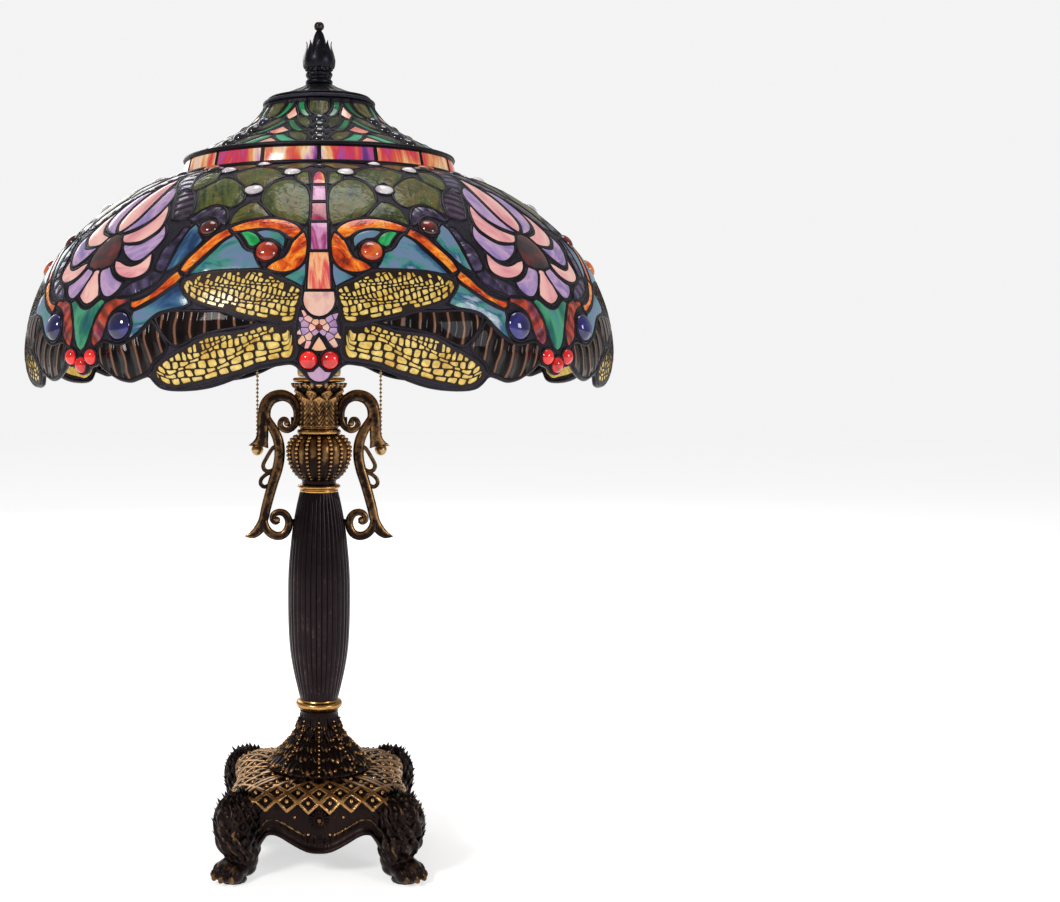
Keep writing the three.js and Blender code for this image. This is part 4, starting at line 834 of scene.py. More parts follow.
def bricks(P, row, lens, gap, tilt, rough, shrink_tip=0.0):
    """Rounded cells in rows that follow a wing's lower edge. P is in wing axes: x from root to tip, y up."""
    cells = []
    x0, x1 = P[:, 0].min(), P[:, 0].max()

    def span(x):
        A, B = P, np.roll(P, -1, 0)
        ys = []
        for a, b in zip(A, B):
            if (a[0] - x) * (b[0] - x) <= 0 and abs(a[0] - b[0]) > 1e-9:
                ys.append(a[1] + (b[1] - a[1]) * (x - a[0]) / (b[0] - a[0]))
        return (min(ys), max(ys)) if len(ys) > 1 else (0, 0)

    xs = np.linspace(x0 + 0.4, x1 - 0.4, 160)
    sp = np.array([span(x) for x in xs])
    lo = np.convolve(np.pad(sp[:, 0], 3, "edge"), np.ones(7) / 7, "valid")
    hi = sp[:, 1]
    LO = lambda x: np.interp(x, xs, lo)
    HI = lambda x: np.interp(x, xs, hi)
    j = 0
    while j < 40:
        wob = lambda x, j=j: 0.32 * row * math.sin(x * 0.16 + j * 1.7) * min(1, j / 2)
        base = lambda x, j=j: LO(x) + j * row + (0 if j == 0 else wob(x, j))
        topf = lambda x, j=j: LO(x) + (j + 1) * row + wob(x, j + 1)
        x = x0 + 0.5 + rng.random() * 2
        any_ = False
        while x < x1 - 1.2:
            L = lens(j) * (0.72 + 0.6 * rng.random())
            xe = min(x + L, x1 - 0.5)
            xm = 0.5 * (x + xe)
            if x1 - 0.5 - xe < 1.8:
                xe = x1 - 0.5
            b0, t0 = base(xm), min(topf(xm), HI(xm))
            if HI(xm) - topf(xm) < 0.42 * row:
                t0 = HI(xm)
            if t0 - b0 > 0.40 * row and xe - x > 1.6:
                any_ = True
                low, up = [], []
                g = gap / 2
                for k in range(4):
                    xx = x + g + (xe - x - 2 * g) * k / 3
                    t = min(topf(xx), HI(xx))
                    if HI(xx) - topf(xx) < 0.42 * row:
                        t = HI(xx)
                    b = base(xx)
                    if t - b < gap + 0.5:
                        mid = 0.5 * (t + b)
                        b, t = mid - 0.25 - g, mid + 0.25 + g
                    low.append((xx, b + g))
                    up.append((xx, t - g))
                lean = tilt * (rng.random() - 0.5)
                poly = np.array(low + up[::-1])
                poly[:, 0] += lean * (poly[:, 1] - poly[:, 1].mean())
                poly += rough * row * (np.array([[rng.random() - 0.5, rng.random() - 0.5] for _ in poly]))
                w = poly[3, 0] - poly[0, 0]
                h = t0 - b0 - gap
                if w > 0.8 and h > 0.5:
                    # round the corners: pull the four corners in
                    cc = poly.mean(0)
                    for q in (0, 3, 4, 7):
                        poly[q] += (cc - poly[q]) * (0.16 if w < 2 * h else 0.10)
                    out = []
                    for q in range(8):
                        a, b = poly[q], poly[(q + 1) % 8]
                        out += [0.75 * a + 0.25 * b, 0.25 * a + 0.75 * b]
                    cells.append(np.array(out))
            x = xe
        if not any_ and j > 3:
            break
        j += 1
    return cells


# ---- skirt prototypes: one half sector, mirrored and turned eight times
TOP_FIX = {}
half_glass, half_came = Proto(SK), Proto(SK)
front_glass, front_came = Proto(SK), Proto(SK)     # on the dragonfly's axis
bloom_glass, bloom_came = Proto(SK), Proto(SK)     # on the blossom's axis
half_net = Proto(SK)
half_gem, front_gem, bloom_gem = Proto(SK), Proto(SK), Proto(SK)
for name, mat, kind, pts in PIECES:
    if kind == "a0":
        add_piece(front_glass, front_came, full_outline(pts, 0.0), mat, SK, 0.0, along=(0, 1))
    elif kind == "a45":
        add_piece(bloom_glass, bloom_came, full_outline(pts, 45.0), mat, SK, 45.0, along=(0, 1) if name != "heartline" else None, lead=True)
    else:
        add_piece(half_glass, half_came, pts, mat, SK)

# wings: yellow glass under a dark pierced net
for name, pts in WINGS.items():
    pts = np.array(pts, float)
    if name == "thorax":
        continue
    tc = float(pts[:, 0].mean())
    P = smooth_loop(to_uv(pts, tc, SK), 2.6, 70)
    V, F = glass_piece(P, dome=0.12, rim=0.22, step=5.0, deep=0.3)
    half_glass.add(V, F, "gold", tc, grain_of(V, P, "gold"))
    root = P[np.argmin(P[:, 0])]
    c = P.mean(0)
    w, e = np.linalg.eigh(np.cov((P - c).T))
    ax = e[:, 1] * (1 if e[0, 1] > 0 else -1)
    up = np.array([ax[1], -ax[0]])
    if up[1] > 0:
        up = -up
    Q = np.column_stack([(P - c) @ ax, (P - c) @ up])
    if name == "upper":
        cells = bricks(Q, 3.35, lambda j: (6.6, 5.4, 4.4, 3.7, 3.4)[min(j, 4)], 0.7, 0.5, 0.2)
    else:
        cells = bricks(Q, 3.9, lambda j: (8.2, 8.0, 7.2, 6.2, 4.6, 3.8)[min(j, 5)], 0.7, 0.35, 0.15)
    holes = []
    for q in cells:
        h = c + np.outer(q[:, 0], ax) + np.outer(q[:, 1], up)
        if inside(P, h).all() and edge_dist(P, h).min() > 0.18:
            holes.append(tidy(h) if area_of(h) > 0 else tidy(h[::-1]))
    rim = P + offset_normals(P) * 0.9
    v, f = fill(rim, None, holes)
    V, F = slab(v, f, np.full(len(v), 0.72), np.full(len(v), 0.1))
    half_net.add(V, F, "net", tc)
    V, F = came_loop(P, out=1.5, sec=[(-1.0, -2.9), (1.0, -2.9), (1.0, 0.4), (0.4, 0.75), (-0.6, 0.75), (-1.0, 0.3)])
    half_came.add(V, F, "solder", tc)

# the chest: small rays of coloured glass round its middle
half = [tuple(p) for p in WINGS["thorax"]]
P = smooth_loop(to_uv(full_outline([(0.0, half[0][1])] + half[1:-1] + [(0.0, half[-1][1])], 0.0), 0.0, SK), 2.0)
lo, hi = P.min(0), P.max(0)
mid = np.array([0.0, lo[1] + 0.46 * (hi[1] - lo[1])])
seeds = [(0.0, 0.0)]
for ring, cnt, ph in ((3.6, 6, 0.0), (8.0, 12, 0.26), (12.5, 16, 0.1)):
    for k in range(cnt):
        a = 2 * math.pi * k / cnt + ph
        seeds.append((ring * 1.15 * math.cos(a), ring * math.sin(a)))
seeds = np.array(seeds)
for k, sd in enumerate(seeds):
    p = mid + sd
    if not inside(P, p[None])[0]:
        continue
    poly = np.array([(-30, -30), (30, -30), (30, 30), (-30, 30)], float) + p
    cuts = [((mid + o + p) / 2, mid + o - p, 0.30) for i, o in enumerate(seeds) if i != k and np.linalg.norm(o - sd) < 14]
    for q, nrm, gap in cuts:
        nrm = nrm / (np.linalg.norm(nrm) + 1e-9)
        d = (poly - q) @ nrm + gap
        out = []
        for i in range(len(poly)):
            a, b, da, db = poly[i], poly[(i + 1) % len(poly)], d[i], d[(i + 1) % len(poly)]
            if da <= 0:
                out.append(a)
            if (da < 0) != (db < 0) and abs(da - db) > 1e-9:
                out.append(a + (b - a) * da / (da - db))
        poly = np.array(out)
        if len(poly) < 3:
            break
    if len(poly) < 3:
        continue
    fine = np.vstack([a + (b - a) * np.linspace(0, 1, 5)[:-1, None] for a, b in zip(poly, np.roll(poly, -1, 0))])
    pulled = []
    for v_ in fine:      # keep the cell within the chest's outline
        t_ = 1.0
        while t_ > 0.05:
            w_ = p + (v_ - p) * t_
            if inside(P, w_[None])[0] and edge_dist(P, w_[None])[0] > 0.45:
                break
            t_ -= 0.05
        pulled.append(w_)
    poly = np.array(pulled)
    if abs(area_of(poly)) < 1.4:
        continue
    poly = tidy(poly)
    if len(poly) < 3:
        continue
    v, f = fill(poly, np.array([poly.mean(0)]))
    d = edge_dist(poly, v)
    V, F = slab(v, f, 0.35 + np.minimum(0.45, d * 0.5), np.full(len(v), -2.6))
    front_glass.add(V, F, ("garnet" if k == 0 else ("peach", "lilac", "blush", "pink", "lavender")[(k * 7) % 5]), 0.0)
V, F = came_loop(P, out=0.6)
front_came.add(V, F, "came", 0.0)

# cabochons and nuggets in their own rings
for name, mat, t, s, rx, ry, h in JEWELS:
    tgt, cmt = {0.0: (front_gem, front_came), 45.0: (bloom_gem, bloom_came)}.get(t, (half_gem, half_came))
    V, F = dome_piece(rx, ry, h * min(rx, ry))
    if mat in ("nugget", "topaz"):
        k = 1 + 0.10 * np.sin(3 * np.arctan2(V[:, 1], V[:, 0]) + 1.3 * s)
        V[:, 0] *= k
        V[:, 1] *= k
    uv = V + np.array([0, s, 0])
    tgt.add(uv, F, mat, t, V)
    ring = np.array([(1.02 * rx * math.cos(a), s + 1.02 * ry * math.sin(a)) for a in np.linspace(0, 2 * math.pi, 30, endpoint=False)])
    V, F = came_loop(ring, out=0.7, sec=[(-0.9, -2.9), (0.9, -2.9), (0.9, 0.5), (0.3, 1.15), (-0.4, 1.15), (-0.9, 0.7)])
    cmt.add(V, F, "came", t)


def rim_at(theta):
    """Distance down the skirt to its scalloped edge at an angle from a dragonfly's middle."""
    t = np.abs((np.asarray(theta, float) + 45) % 90 - 45)
    return np.interp(t, RIM_T, RIM_S)


RIM_T = np.array([p[0] for p in RIM])
RIM_S = np.array([p[1] for p in RIM])
# the outline is not a function of angle everywhere, so its samples are sorted
order = np.argsort(RIM_T, kind="stable")
RIM_T, RIM_S = RIM_T[order], RIM_S[order]


def shell_sector(mesh, t0, t1, s0, edge, nt, ns, su, mat, top=0.12, bot=-2.5):
    """The lead sheet that carries the glass, from t0 to t1 degrees."""
    T = np.linspace(t0, t1, nt + 1)
    rows_o, rows_i = [], []
    for j in range(ns + 1):
        for rows, h in ((rows_o, top), (rows_i, bot)):
            rows.append(su.put(np.column_stack([T, s0 + (edge(T) - s0) * j / ns, np.full(nt + 1, h)])))
    V = np.vstack(rows_o + rows_i)
    n, m = nt + 1, (ns + 1) * (nt + 1)
    F = []
    for j in range(ns):
        for i in range(nt):
            a, b, c, d = j * n + i, j * n + i + 1, (j + 1) * n + i + 1, (j + 1) * n + i
            F.append((a, d, c, b))
            F.append((a + m, b + m, c + m, d + m))
    for j in range(ns):
        a, d = j * n, (j + 1) * n
        F.append((a, a + m, d + m, d))
        a, d = j * n + nt, (j + 1) * n + nt
        F.append((a, d, d + m, a + m))
    for i in range(nt):
        F.append((i, i + 1, i + 1 + m, i + m))
        a = ns * n + i
        F.append((a, a + m, a + m + 1, a + 1))
    mesh.add(V, F, mat)


FRONT = lambda k: (k, f"dragonfly_panel_{k + 1}")
salt = 0
for k in range(4):
    turn = 90.0 * k
    # the front panel: the half sectors within 22.5 degrees of a dragonfly, and all of its wings
    for kind, node, names in (("dragonfly", f"dragonfly_panel_{k + 1}", None), ("blossom", f"blossom_panel_{k + 1}", None)):
        G, C = Mesh(), Mesh()
        if kind == "dragonfly":
            pairs = ((1, turn), (-1, turn))
            mine = lambda P: (lambda i: P.parts[i][0][:, 0].mean() < 22.5)
            front_glass.place(G, 1, turn, 0.37 * k)
            front_gem.place(G, 1, turn)
            front_came.place(C, 1, turn)
            shell_sector(C, turn - 22.5, turn + 22.5, 0.0, rim_at, 50, 46, SK, "solder")
        else:
            pairs = ((1, turn), (-1, turn + 90.0))
            mine = lambda P: (lambda i: P.parts[i][0][:, 0].mean() >= 22.5)
            bloom_glass.place(G, 1, turn, 0.37 * k)
            bloom_gem.place(G, 1, turn)
            bloom_came.place(C, 1, turn)
            shell_sector(C, turn + 22.5, turn + 67.5, 0.0, rim_at, 50, 46, SK, "solder")
        for sign, tn in pairs:
            salt += 1
            half_glass.place(G, sign, tn, salt, mine(half_glass))
            half_gem.place(G, sign, tn, salt, mine(half_gem))
            half_came.place(C, sign, tn, salt, mine(half_came))
        G.build(f"{kind}_glass_{k + 1}", "shade", [node], "glass_" + kind, sharp=40)
        C.build(f"{kind}_came_{k + 1}", "shade", [node], "lead", sharp=75)
        if kind == "dragonfly":
            W = Mesh()
            for sign, tn in pairs:
                half_net.place(W, sign, tn)
            W.build(f"wing_net_{k + 1}", "shade", [node], "lead", sharp=40)

# the rim wire that binds the scalloped edge, and the wires at the band
T = np.linspace(0, 360, 721)[:-1]
E = rim_at(T)
E = np.convolve(np.concatenate([E[-2:], E, E[:2]]), [0.1, 0.2, 0.4, 0.2, 0.1], "valid")
W = Mesh()
V, F = tube(SK.put(np.column_stack([T, E, np.full(len(T), -1.2)])), 1.75, 8, closed=True)
W.add(V, F, "came")
for r, z, q in ((105.6, 545.6, 2.0), (109.2, 531.3, 2.1)):
    V, F = tube([(r * math.cos(a), r * math.sin(a), z) for a in np.linspace(0, 2 * math.pi, 180, endpoint=False)], q, 8, closed=True)
    W.add(V, F, "came")
W.build("shade_wires", "shade", ["band_glass"], "lead", sharp=0)

# ---- the crown, eight sectors of 45 degrees
cg, cc, c0g, c0c, c2g, c2c = (Proto(CR) for _ in range(6))
for mat, kind, pts in CROWN_PIECES:
    if kind == "a0":
        add_piece(c0g, c0c, full_outline(pts, 0.0), mat, CR, 0.0, along=(0, 1))
    elif kind == "a22":
        add_piece(c2g, c2c, full_outline(pts, 22.5), mat, CR, 22.5, along=(0, 1))
    else:
        add_piece(cg, cc, pts, mat, CR)
cgem = Proto(CR)
for s, r, mat in ((25.5, 5.0, "midnight"), (39.0, 5.4, "jet"), (53.5, 5.8, "midnight"), (67.6, 5.6, "jet")):
    V, F = dome_piece(r, r * 1.05, 0.62 * r)
    cgem.add(V + np.array([0, s, 0]), F, mat, 0.0, V)
    ring = np.array([(1.02 * r * math.cos(a), s + 1.06 * r * math.sin(a)) for a in np.linspace(0, 2 * math.pi, 26, endpoint=False)])
    V, F = came_loop(ring, out=0.7, sec=[(-0.9, -2.9), (0.9, -2.9), (0.9, 0.5), (0.3, 1.0), (-0.4, 1.0), (-0.9, 0.7)])
    c0c.add(V, F, "came", 0.0)
G, C = Mesh(), Mesh()
for k in range(8):
    turn = 45.0 * k
    c0g.place(G, 1, turn, k)
    cgem.place(G, 1, turn, k)
    c0c.place(C, 1, turn, k)
    c2g.place(G, 1, turn, k + 0.5)
    c2c.place(C, 1, turn, k)
    for sign in (1, -1):
        cg.place(G, sign, turn, k + 0.25 * sign)
        cc.place(C, sign, turn, k)
G.build("crown_pieces", "shade", ["crown_glass"], "glass_crown", sharp=40)
shell_sector(C, 0, 359.999, 0.0, lambda T: np.full(len(T), CR.length), 180, 16, CR, "solder")
C.build("crown_came", "shade", ["crown_glass"], "lead", sharp=75)

# ---- the band of sixteen streaked panes
bg, bc = Proto(BD), Proto(BD)
Lb = BD.length
G, C = Mesh(), Mesh()
for k in range(16):
    t0, t1 = 22.5 * k + 0.75, 22.5 * (k + 1) - 0.75
    pr, co = Proto(BD), Proto(BD)
    pts = [(t0 + (t1 - t0) * i / 9, 1.6) for i in range(10)] + [(t1 - (t1 - t0) * i / 9, Lb - 1.6) for i in range(10)]
    tc = 0.5 * (t0 + t1)
    P = tidy(to_uv(pts, tc, BD))
    V, F = glass_piece(P, dome=0.3, rim=0.25, step=4.5)
    pr.add(V, F, "bandglass", tc, np.column_stack([V[:, 0], V[:, 1], V[:, 2]]))
    V, F = came_loop(P, out=0.9)
    co.add(V, F, "came", tc)
    pr.place(G, 1, 0.0, k * 1.37)
    co.place(C, 1, 0.0)
G.build("band_panes", "shade", ["band_glass"], "glass_band", sharp=40)
shell_sector(C, 0, 359.999, 0.0, lambda T: np.full(len(T), Lb), 120, 3, BD, "solder")
C.build("band_came", "shade", ["band_glass"], "lead", sharp=75)

# ------------------------------------------------------------------ castings
BORE = 5.25


def wrap(pts):
    """Closes an outer profile through the bore for the lamp pipe."""
    return [(BORE, pts[0][1]), *[tuple(p) for p in pts], (BORE, pts[-1][1])]


def sstep(x, a, b):
    t = np.clip((x - a) / (b - a), 0, 1)
    return t * t * (3 - 2 * t)


def relief(profile, seg, fn, z0=0.0, closed_bore=True):
    """A turned casting with relief. fn(phi, t, r, z) gives (height along the normal, rub) on the outer rows."""
    P = np.array([(r, z + z0) for r, z in profile], float)
    t = arc_length(P)
    d = np.gradient(P, axis=0)
    L = np.hypot(d[:, 0], d[:, 1])
    nr, nz = d[:, 1] / L, -d[:, 0] / L
    if nr.mean() < 0:
        nr, nz = -nr, -nz
    phi = np.linspace(0, 2 * math.pi, seg, endpoint=False)
    PH, TT = np.meshgrid(phi, t)
    RR, ZZ = np.repeat(P[:, :1], seg, 1), np.repeat(P[:, 1:], seg, 1)
    h, rub = fn(PH, TT, RR, ZZ)
    r2 = RR + h * nr[:, None]
    z2 = ZZ + h * nz[:, None]
    rows = len(P)
    V = np.stack([r2 * np.cos(PH), r2 * np.sin(PH), z2], 2).reshape(-1, 3)
    top = np.column_stack([BORE * np.cos(phi), BORE * np.sin(phi), np.full(seg, P[-1, 1])])
    bot = np.column_stack([BORE * np.cos(phi), BORE * np.sin(phi), np.full(seg, P[0, 1])])
    V = np.vstack([V, top, bot])
    R = np.concatenate([rub.ravel(), np.zeros(2 * seg)])
    up = P[-1, 1] > P[0, 1]
    F = []
    total = rows + 2
    for i in range(total):
        a, b = i * seg, ((i + 1) % total) * seg
        for k in range(seg):
            j = (k + 1) % seg
            F.append((a + k, a + j, b + j, b + k) if up else (a + k, b + k, b + j, a + j))
    return V, F, R


def frac(x):
    return x - np.floor(x)


# fluted column
col = resample(catmull([(15.2, 121.2), (17.2, 129.2), (20.4, 143.2), (22.9, 158.2), (24.2, 175.2), (24.7, 197.2), (24.4, 221.2), (22.6, 243.2),
                        (20.6, 259.2), (18.0, 273.2), (15.4, 284.6)], 8), 46)


def flutes(ph, t, r, z):
    env = sstep(z, 122, 127) * (1 - sstep(z, 279.5, 283.6))
    c = np.abs(np.cos(17 * (ph + math.pi / 2)))
    g = c ** 0.55
    # The reed ridges are painted lighter: a painted highlight where the reeds catch the light, with some rubbed wear.
    return -0.95 * env * (1 - g) * r / 22 + 0.0 * z, 0.24 * g ** 3 * env + 0.05


M = Mesh()
V, F, R = relief(col, 34 * 8, flutes)
M.add(V, F, "column_bronze", rub=R)
M.build("reeded_column", "root", ["fluted_column"], "bronze", sharp=60)

# gilt rings
for node, name, zc, sec in (
    ("lower_ring", "ring_below_column", 116.6, [(15.0, -4.2), (15.6, -3.6), (16.6, -2.8), (17.9, -1.4), (18.3, 0.0), (18.2, 1.3), (17.3, 2.5), (15.9, 3.1), (15.5, 3.7), (15.3, 4.2)]),
    ("middle_ring", "ring_above_column", 287.9, [(15.2, -3.0), (15.4, -2.0), (15.0, -1.2), (15.9, -0.4), (16.9, 0.5), (17.0, 1.4), (16.3, 2.3), (14.6, 3.0)]),
    ("upper_ring", "ring_above_urn", 332.2, [(15.8, -2.2), (16.6, -1.8), (17.3, -0.9), (17.4, 0.0), (17.3, 0.9), (16.6, 1.8), (15.8, 2.2)]),
):
    prof = wrap(catmull(sec, 4))
    V, F, R = lathe([(r, z + zc) for r, z in prof], 96)
    M = Mesh()
    M.add(V, F, "gilt", rub=np.full(len(V), 0.62))
    M.build(name, "root", [node], "gilt", sharp=60)

# beaded urn
urn = catmull([(13.4, 291.2), (14.2, 294.4), (19.6, 299.8), (23.2, 306.8), (24.8, 315.2), (24.0, 322.4), (20.6, 327.2), (16.6, 329.6)], 6)


def lobes(ph, t, r, z):
    env = sstep(z, 293.0, 298) * (1 - sstep(z, 325.5, 329.2))
    c = np.abs(np.sin(8 * (ph + math.pi / 2)))
    return env * (1.5 * c ** 0.8 - 0.9), 0.20 + 0.42 * c ** 2 * env * sstep(z, 300, 322)


M = Mesh()
V, F, R = relief(urn, 16 * 12, lobes)
M.add(V, F, "bronze", rub=R)
up = resample(urn, 240)
S = arc_length(up)
marks = np.arange(5.5, S[-1] - 3.0, 3.35)
for k in range(16):
    a = math.radians(22.5 * k - 90)
    for q in marks:
        r, z = np.interp(q, S, up[:, 0]), np.interp(q, S, up[:, 1])
        u = (z - 292) / 37
        b = 0.95 + 0.62 * min(1, max(0, u * 1.25))
        V, F = ball(((r + 0.1) * math.cos(a), (r + 0.1) * math.sin(a), z), b, 10, 7)
        M.add(V, F, "bronze", rub=np.full(len(V), 0.45 + 0.6 * min(1, u * 1.1)))
M.build("beaded_bowl", "root", ["beaded_urn"], "bronze", sharp=60)

# neck with upright leaves and a row of beads
neck = catmull([(15.2, 334.7), (14.2, 337.7), (13.4, 344.7), (13.3, 352.7), (14.2, 358.4), (16.0, 363.0), (18.8, 366.6), (21.0, 368.9), (21.5, 371.1)], 8)


def leaf_field(x, y, w0, tall):
    """Relief of one upright lobed leaf; x across from its rib, y up from its foot."""
    u = np.clip(y / tall, 0, 1)
    w = w0 * (0.62 + 0.55 * np.sin(np.pi * u ** 0.8)) * (1 - sstep(u, 0.78, 1.0)) * (1 + 0.20 * np.sin(u * 26.0))
    ins = (np.abs(x) < w) & (y >= 0) & (y <= tall)
    q = np.clip(np.abs(x) / (w + 1e-6), 0, 1)
    h = 0.75 + 0.85 * (1 - q ** 2) + 0.5 * np.exp(-((x / 0.55) ** 2)) + 0.38 * np.sin((y * 1.1 - np.abs(x) * 2.0) * 1.5) * (1 - q)
    h = h + 1.7 * sstep(u, 0.7, 0.95)
    return np.where(ins, h, 0), np.where(ins, 0.40 + 0.4 * sstep(h, 1.2, 2.6), 0.10)


def neck_leaves(ph, t, r, z):
    H, Rb = np.zeros_like(z), np.full_like(z, 0.04)
    for k, (n, off, w0, tall, z0, lift) in enumerate(((8, 22.5, 4.4, 36.0, 334.9, 0.2), (8, 0.0, 5.2, 29.0, 335.0, 0.7))):
        for i in range(n):
            c = math.radians(360 / n * i - 90 + off)
            x = ((ph - c + math.pi) % (2 * math.pi) - math.pi) * r
            h, b = leaf_field(x, z - z0, w0, tall)
            h = np.where(h > 0, h + lift, 0)
            Rb = np.where(h > H, b, Rb)
            H = np.maximum(H, h)
    H = H * (1 - sstep(z, 366.0, 368.5)) * sstep(z, 335.0, 336.6)
    rim = sstep(z, 366.4, 368.0) * (0.45 + 0.45 * np.cos(24 * ph))
    Rb = np.maximum(Rb, 0.7 * rim)
    H = H + rim
    return H, Rb


M = Mesh()
V, F, R = relief(resample(neck, 64), 200, neck_leaves)
M.add(V, F, "bronze", rub=R)
for k in range(36):
    a = 2 * math.pi * (k + 0.5) / 36
    V, F = ball((21.0 * math.cos(a), 21.0 * math.sin(a), 369.6), 1.0, 10, 7)
    M.add(V, F, "bronze", rub=np.full(len(V), 0.95))
M.build("leaved_neck", "root", ["leaf_neck"], "bronze", sharp=60)

dish = catmull([(14.0, 371.5), (17.0, 371.7), (19.6, 372.3), (20.3, 373.2), (20.1, 374.4), (18.8, 375.2), (14.0, 375.3)], 5)
V, F, R = lathe(wrap(dish), 120, shape=lambda a, r, z: r + (0.5 * math.cos(12 * a) if r > 18.5 else 0))
M = Mesh()
M.add(V, F, "gilt", rub=np.full(len(V), 0.5))
V, F = ball((0, -20.4, 370.6), 2.5, 16, 11)
M.add(V, F, "gilt", rub=np.full(len(V), 0.9))
M.build("neck_plate", "root", ["neck_dish"], "brass", sharp=60)

# leaf cup over the base: tiers of leaves with rubbed tips, and eight rows of beads
cup = catmull([(38.0, 67.0), (40.0, 69.2), (35.4, 74.4), (29.6, 80.8), (23.4, 87.4), (18.4, 94.0), (15.6, 101.6), (14.6, 107.0), (15.2, 112.0)], 10)
CUPT = arc_length(cup)[-1]


def scales(ph, t, r, z):
    """t runs from the foot up, so tiers are counted from the top down."""
    d = CUPT - t
    H, Rb = np.full_like(z, 0.0), np.full_like(z, 0.02)
    edges = [4, 12, 20.5, 29.5, 38.5, 48, 57.5]
    for j in range(len(edges) - 1):
        a, b = edges[j], edges[j + 1] + 2.0
        A = ph / (2 * math.pi) * 14 + 3.5 + 0.5 * (j % 2)
        x = 2 * (frac(A) - 0.5)                    # -1..1 over a leaf
        v = (d - a) / (b - a)
        wob = 0.08 * np.sin(7 * np.floor(A) + 3 * j) + 0.09 * np.cos(13 * x + 0.7 * np.sin(5 * np.floor(A) + j))
        tip = 1 - 0.40 * np.abs(x) ** 1.5 + wob
        on = (v > -0.1) & (v < tip) & (np.abs(x) < 0.96)
        q = np.clip(v / tip, 0, 1)
        h = 0.25 + 1.9 * q ** 1.4 + 0.50 * np.cos(4.2 * np.pi * x * (0.55 + 0.45 * q) + 0.5 * np.sin(5 * q + j + np.floor(A))) * (0.3 + 0.7 * q) + 0.3 * np.exp(-((x / 0.1) ** 2))
        h = np.where(on, h, 0)
        Rb = np.where(h > H, 0.10 + 0.80 * sstep(h, 1.4, 2.4) * (0.55 + 0.45 * j / 5), Rb)
        H = np.maximum(H, h)
    H = H * sstep(z, 67.3, 68.4) * (1 - sstep(z, 108.5, 111.0))
    return H, Rb


M = Mesh()
V, F, R = relief(resample(cup, 92), 16 * 20, scales)
M.add(V, F, "bronze", rub=R)
cs = resample(cup, 300)
S = arc_length(cs)
for k in range(8):
    a = math.radians(45 * k - 90)
    q = 4.0
    while q < S[-1] - 6:
        r, z = np.interp(q, S, cs[:, 0]), np.interp(q, S, cs[:, 1])
        V, F = ball(((r + 1.5) * math.cos(a), (r + 1.5) * math.sin(a), z + 0.6), 0.95, 8, 6)
        M.add(V, F, "bronze", rub=np.full(len(V), 1.0))
        q += 3.6
M.build("leafed_cup", "root", ["leaf_cup"], "bronze", sharp=60)

# ---- base: a pinched square cushion with a strap lattice
HALF = 67.0


def plan(phi, half=HALF):
    c, s = np.abs(np.cos(phi)), np.abs(np.sin(phi))
    return half / (c**5 + s**5) ** 0.2 * (1 - 0.045 * np.cos(4 * phi))


NA = 32 * 15
pf = np.linspace(-math.pi / 2, 1.5 * math.pi, 4001)
pr = plan(pf)
pl = arc_length(np.column_stack([pr * np.cos(pf), pr * np.sin(pf)]))
A = np.arange(NA) / NA
PHI = np.interp(A * pl[-1], pl, pf)
APRON = [(0, 19.0), (7, 19.6), (13.4, 22.7), (22.4, 28.7), (27.5, 32.6), (33.6, 34.7), (38.8, 32.4), (41.8, 26), (46, 20), (52, 17), (90, 16)]
side = np.abs(((PHI + math.pi / 4) % (math.pi / 2)) - math.pi / 4)
SIDE_MM = 61.0 * np.tan(side)
EDGE = np.interp(SIDE_MM, [p[0] for p in APRON], [p[1] for p in APRON])
EDGE = np.convolve(np.concatenate([EDGE[-3:], EDGE, EDGE[:3]]), np.ones(7) / 7, "valid")

topP = resample(catmull([(0.40, 66.4), (0.52, 66.5), (0.66, 66.4), (0.76, 65.6), (0.86, 63.6), (0.94, 60.8), (0.985, 57.2), (1.0, 54.0)], 10), 56)
k_of = lambda ph, k: k * (HALF * (1 - np.clip((k - 0.45) / 0.35, 0, 1)) + plan(ph) * np.clip((k - 0.45) / 0.35, 0, 1))
ft = arc_length(np.column_stack([topP[:, 0] * HALF * 0.955, topP[:, 1]]))
kk = topP[:, 0]
extra = ft - (topP[:, 0] - topP[0, 0]) * HALF * 0.955
P_ = 15.9
ROW_A = float(np.interp(62.2, topP[::-1, 1], (topP[:, 0] * HALF * 0.955 + extra)[::-1]))
turn_ = np.round((PHI + math.pi / 2) / (math.pi / 2)) * (math.pi / 2)      # which side each column belongs to
loc = PHI + math.pi / 2 - turn_


def lattice(x, y, more):
    """Distance to the nearest strap and whether above the last points; more is how far the skin has bent down."""
    L = x * np.cos(turn_) + y * np.sin(turn_)
    Vv = -(-x * np.sin(turn_) + y * np.cos(turn_)) + more
    W = Vv - ROW_A
    p, q = (L + W) / P_, (L - W) / P_
    d = np.minimum(np.abs(frac(p) - 0.5), np.abs(frac(q) - 0.5)) * P_ / math.sqrt(2)
    u = np.abs(frac(L / P_ + 0.5) - 0.5) * 2
    low = P_ * (0.5 + 0.5 * u) + 0.9
    return d, sstep(low - W, -0.4, 0.7), L, W


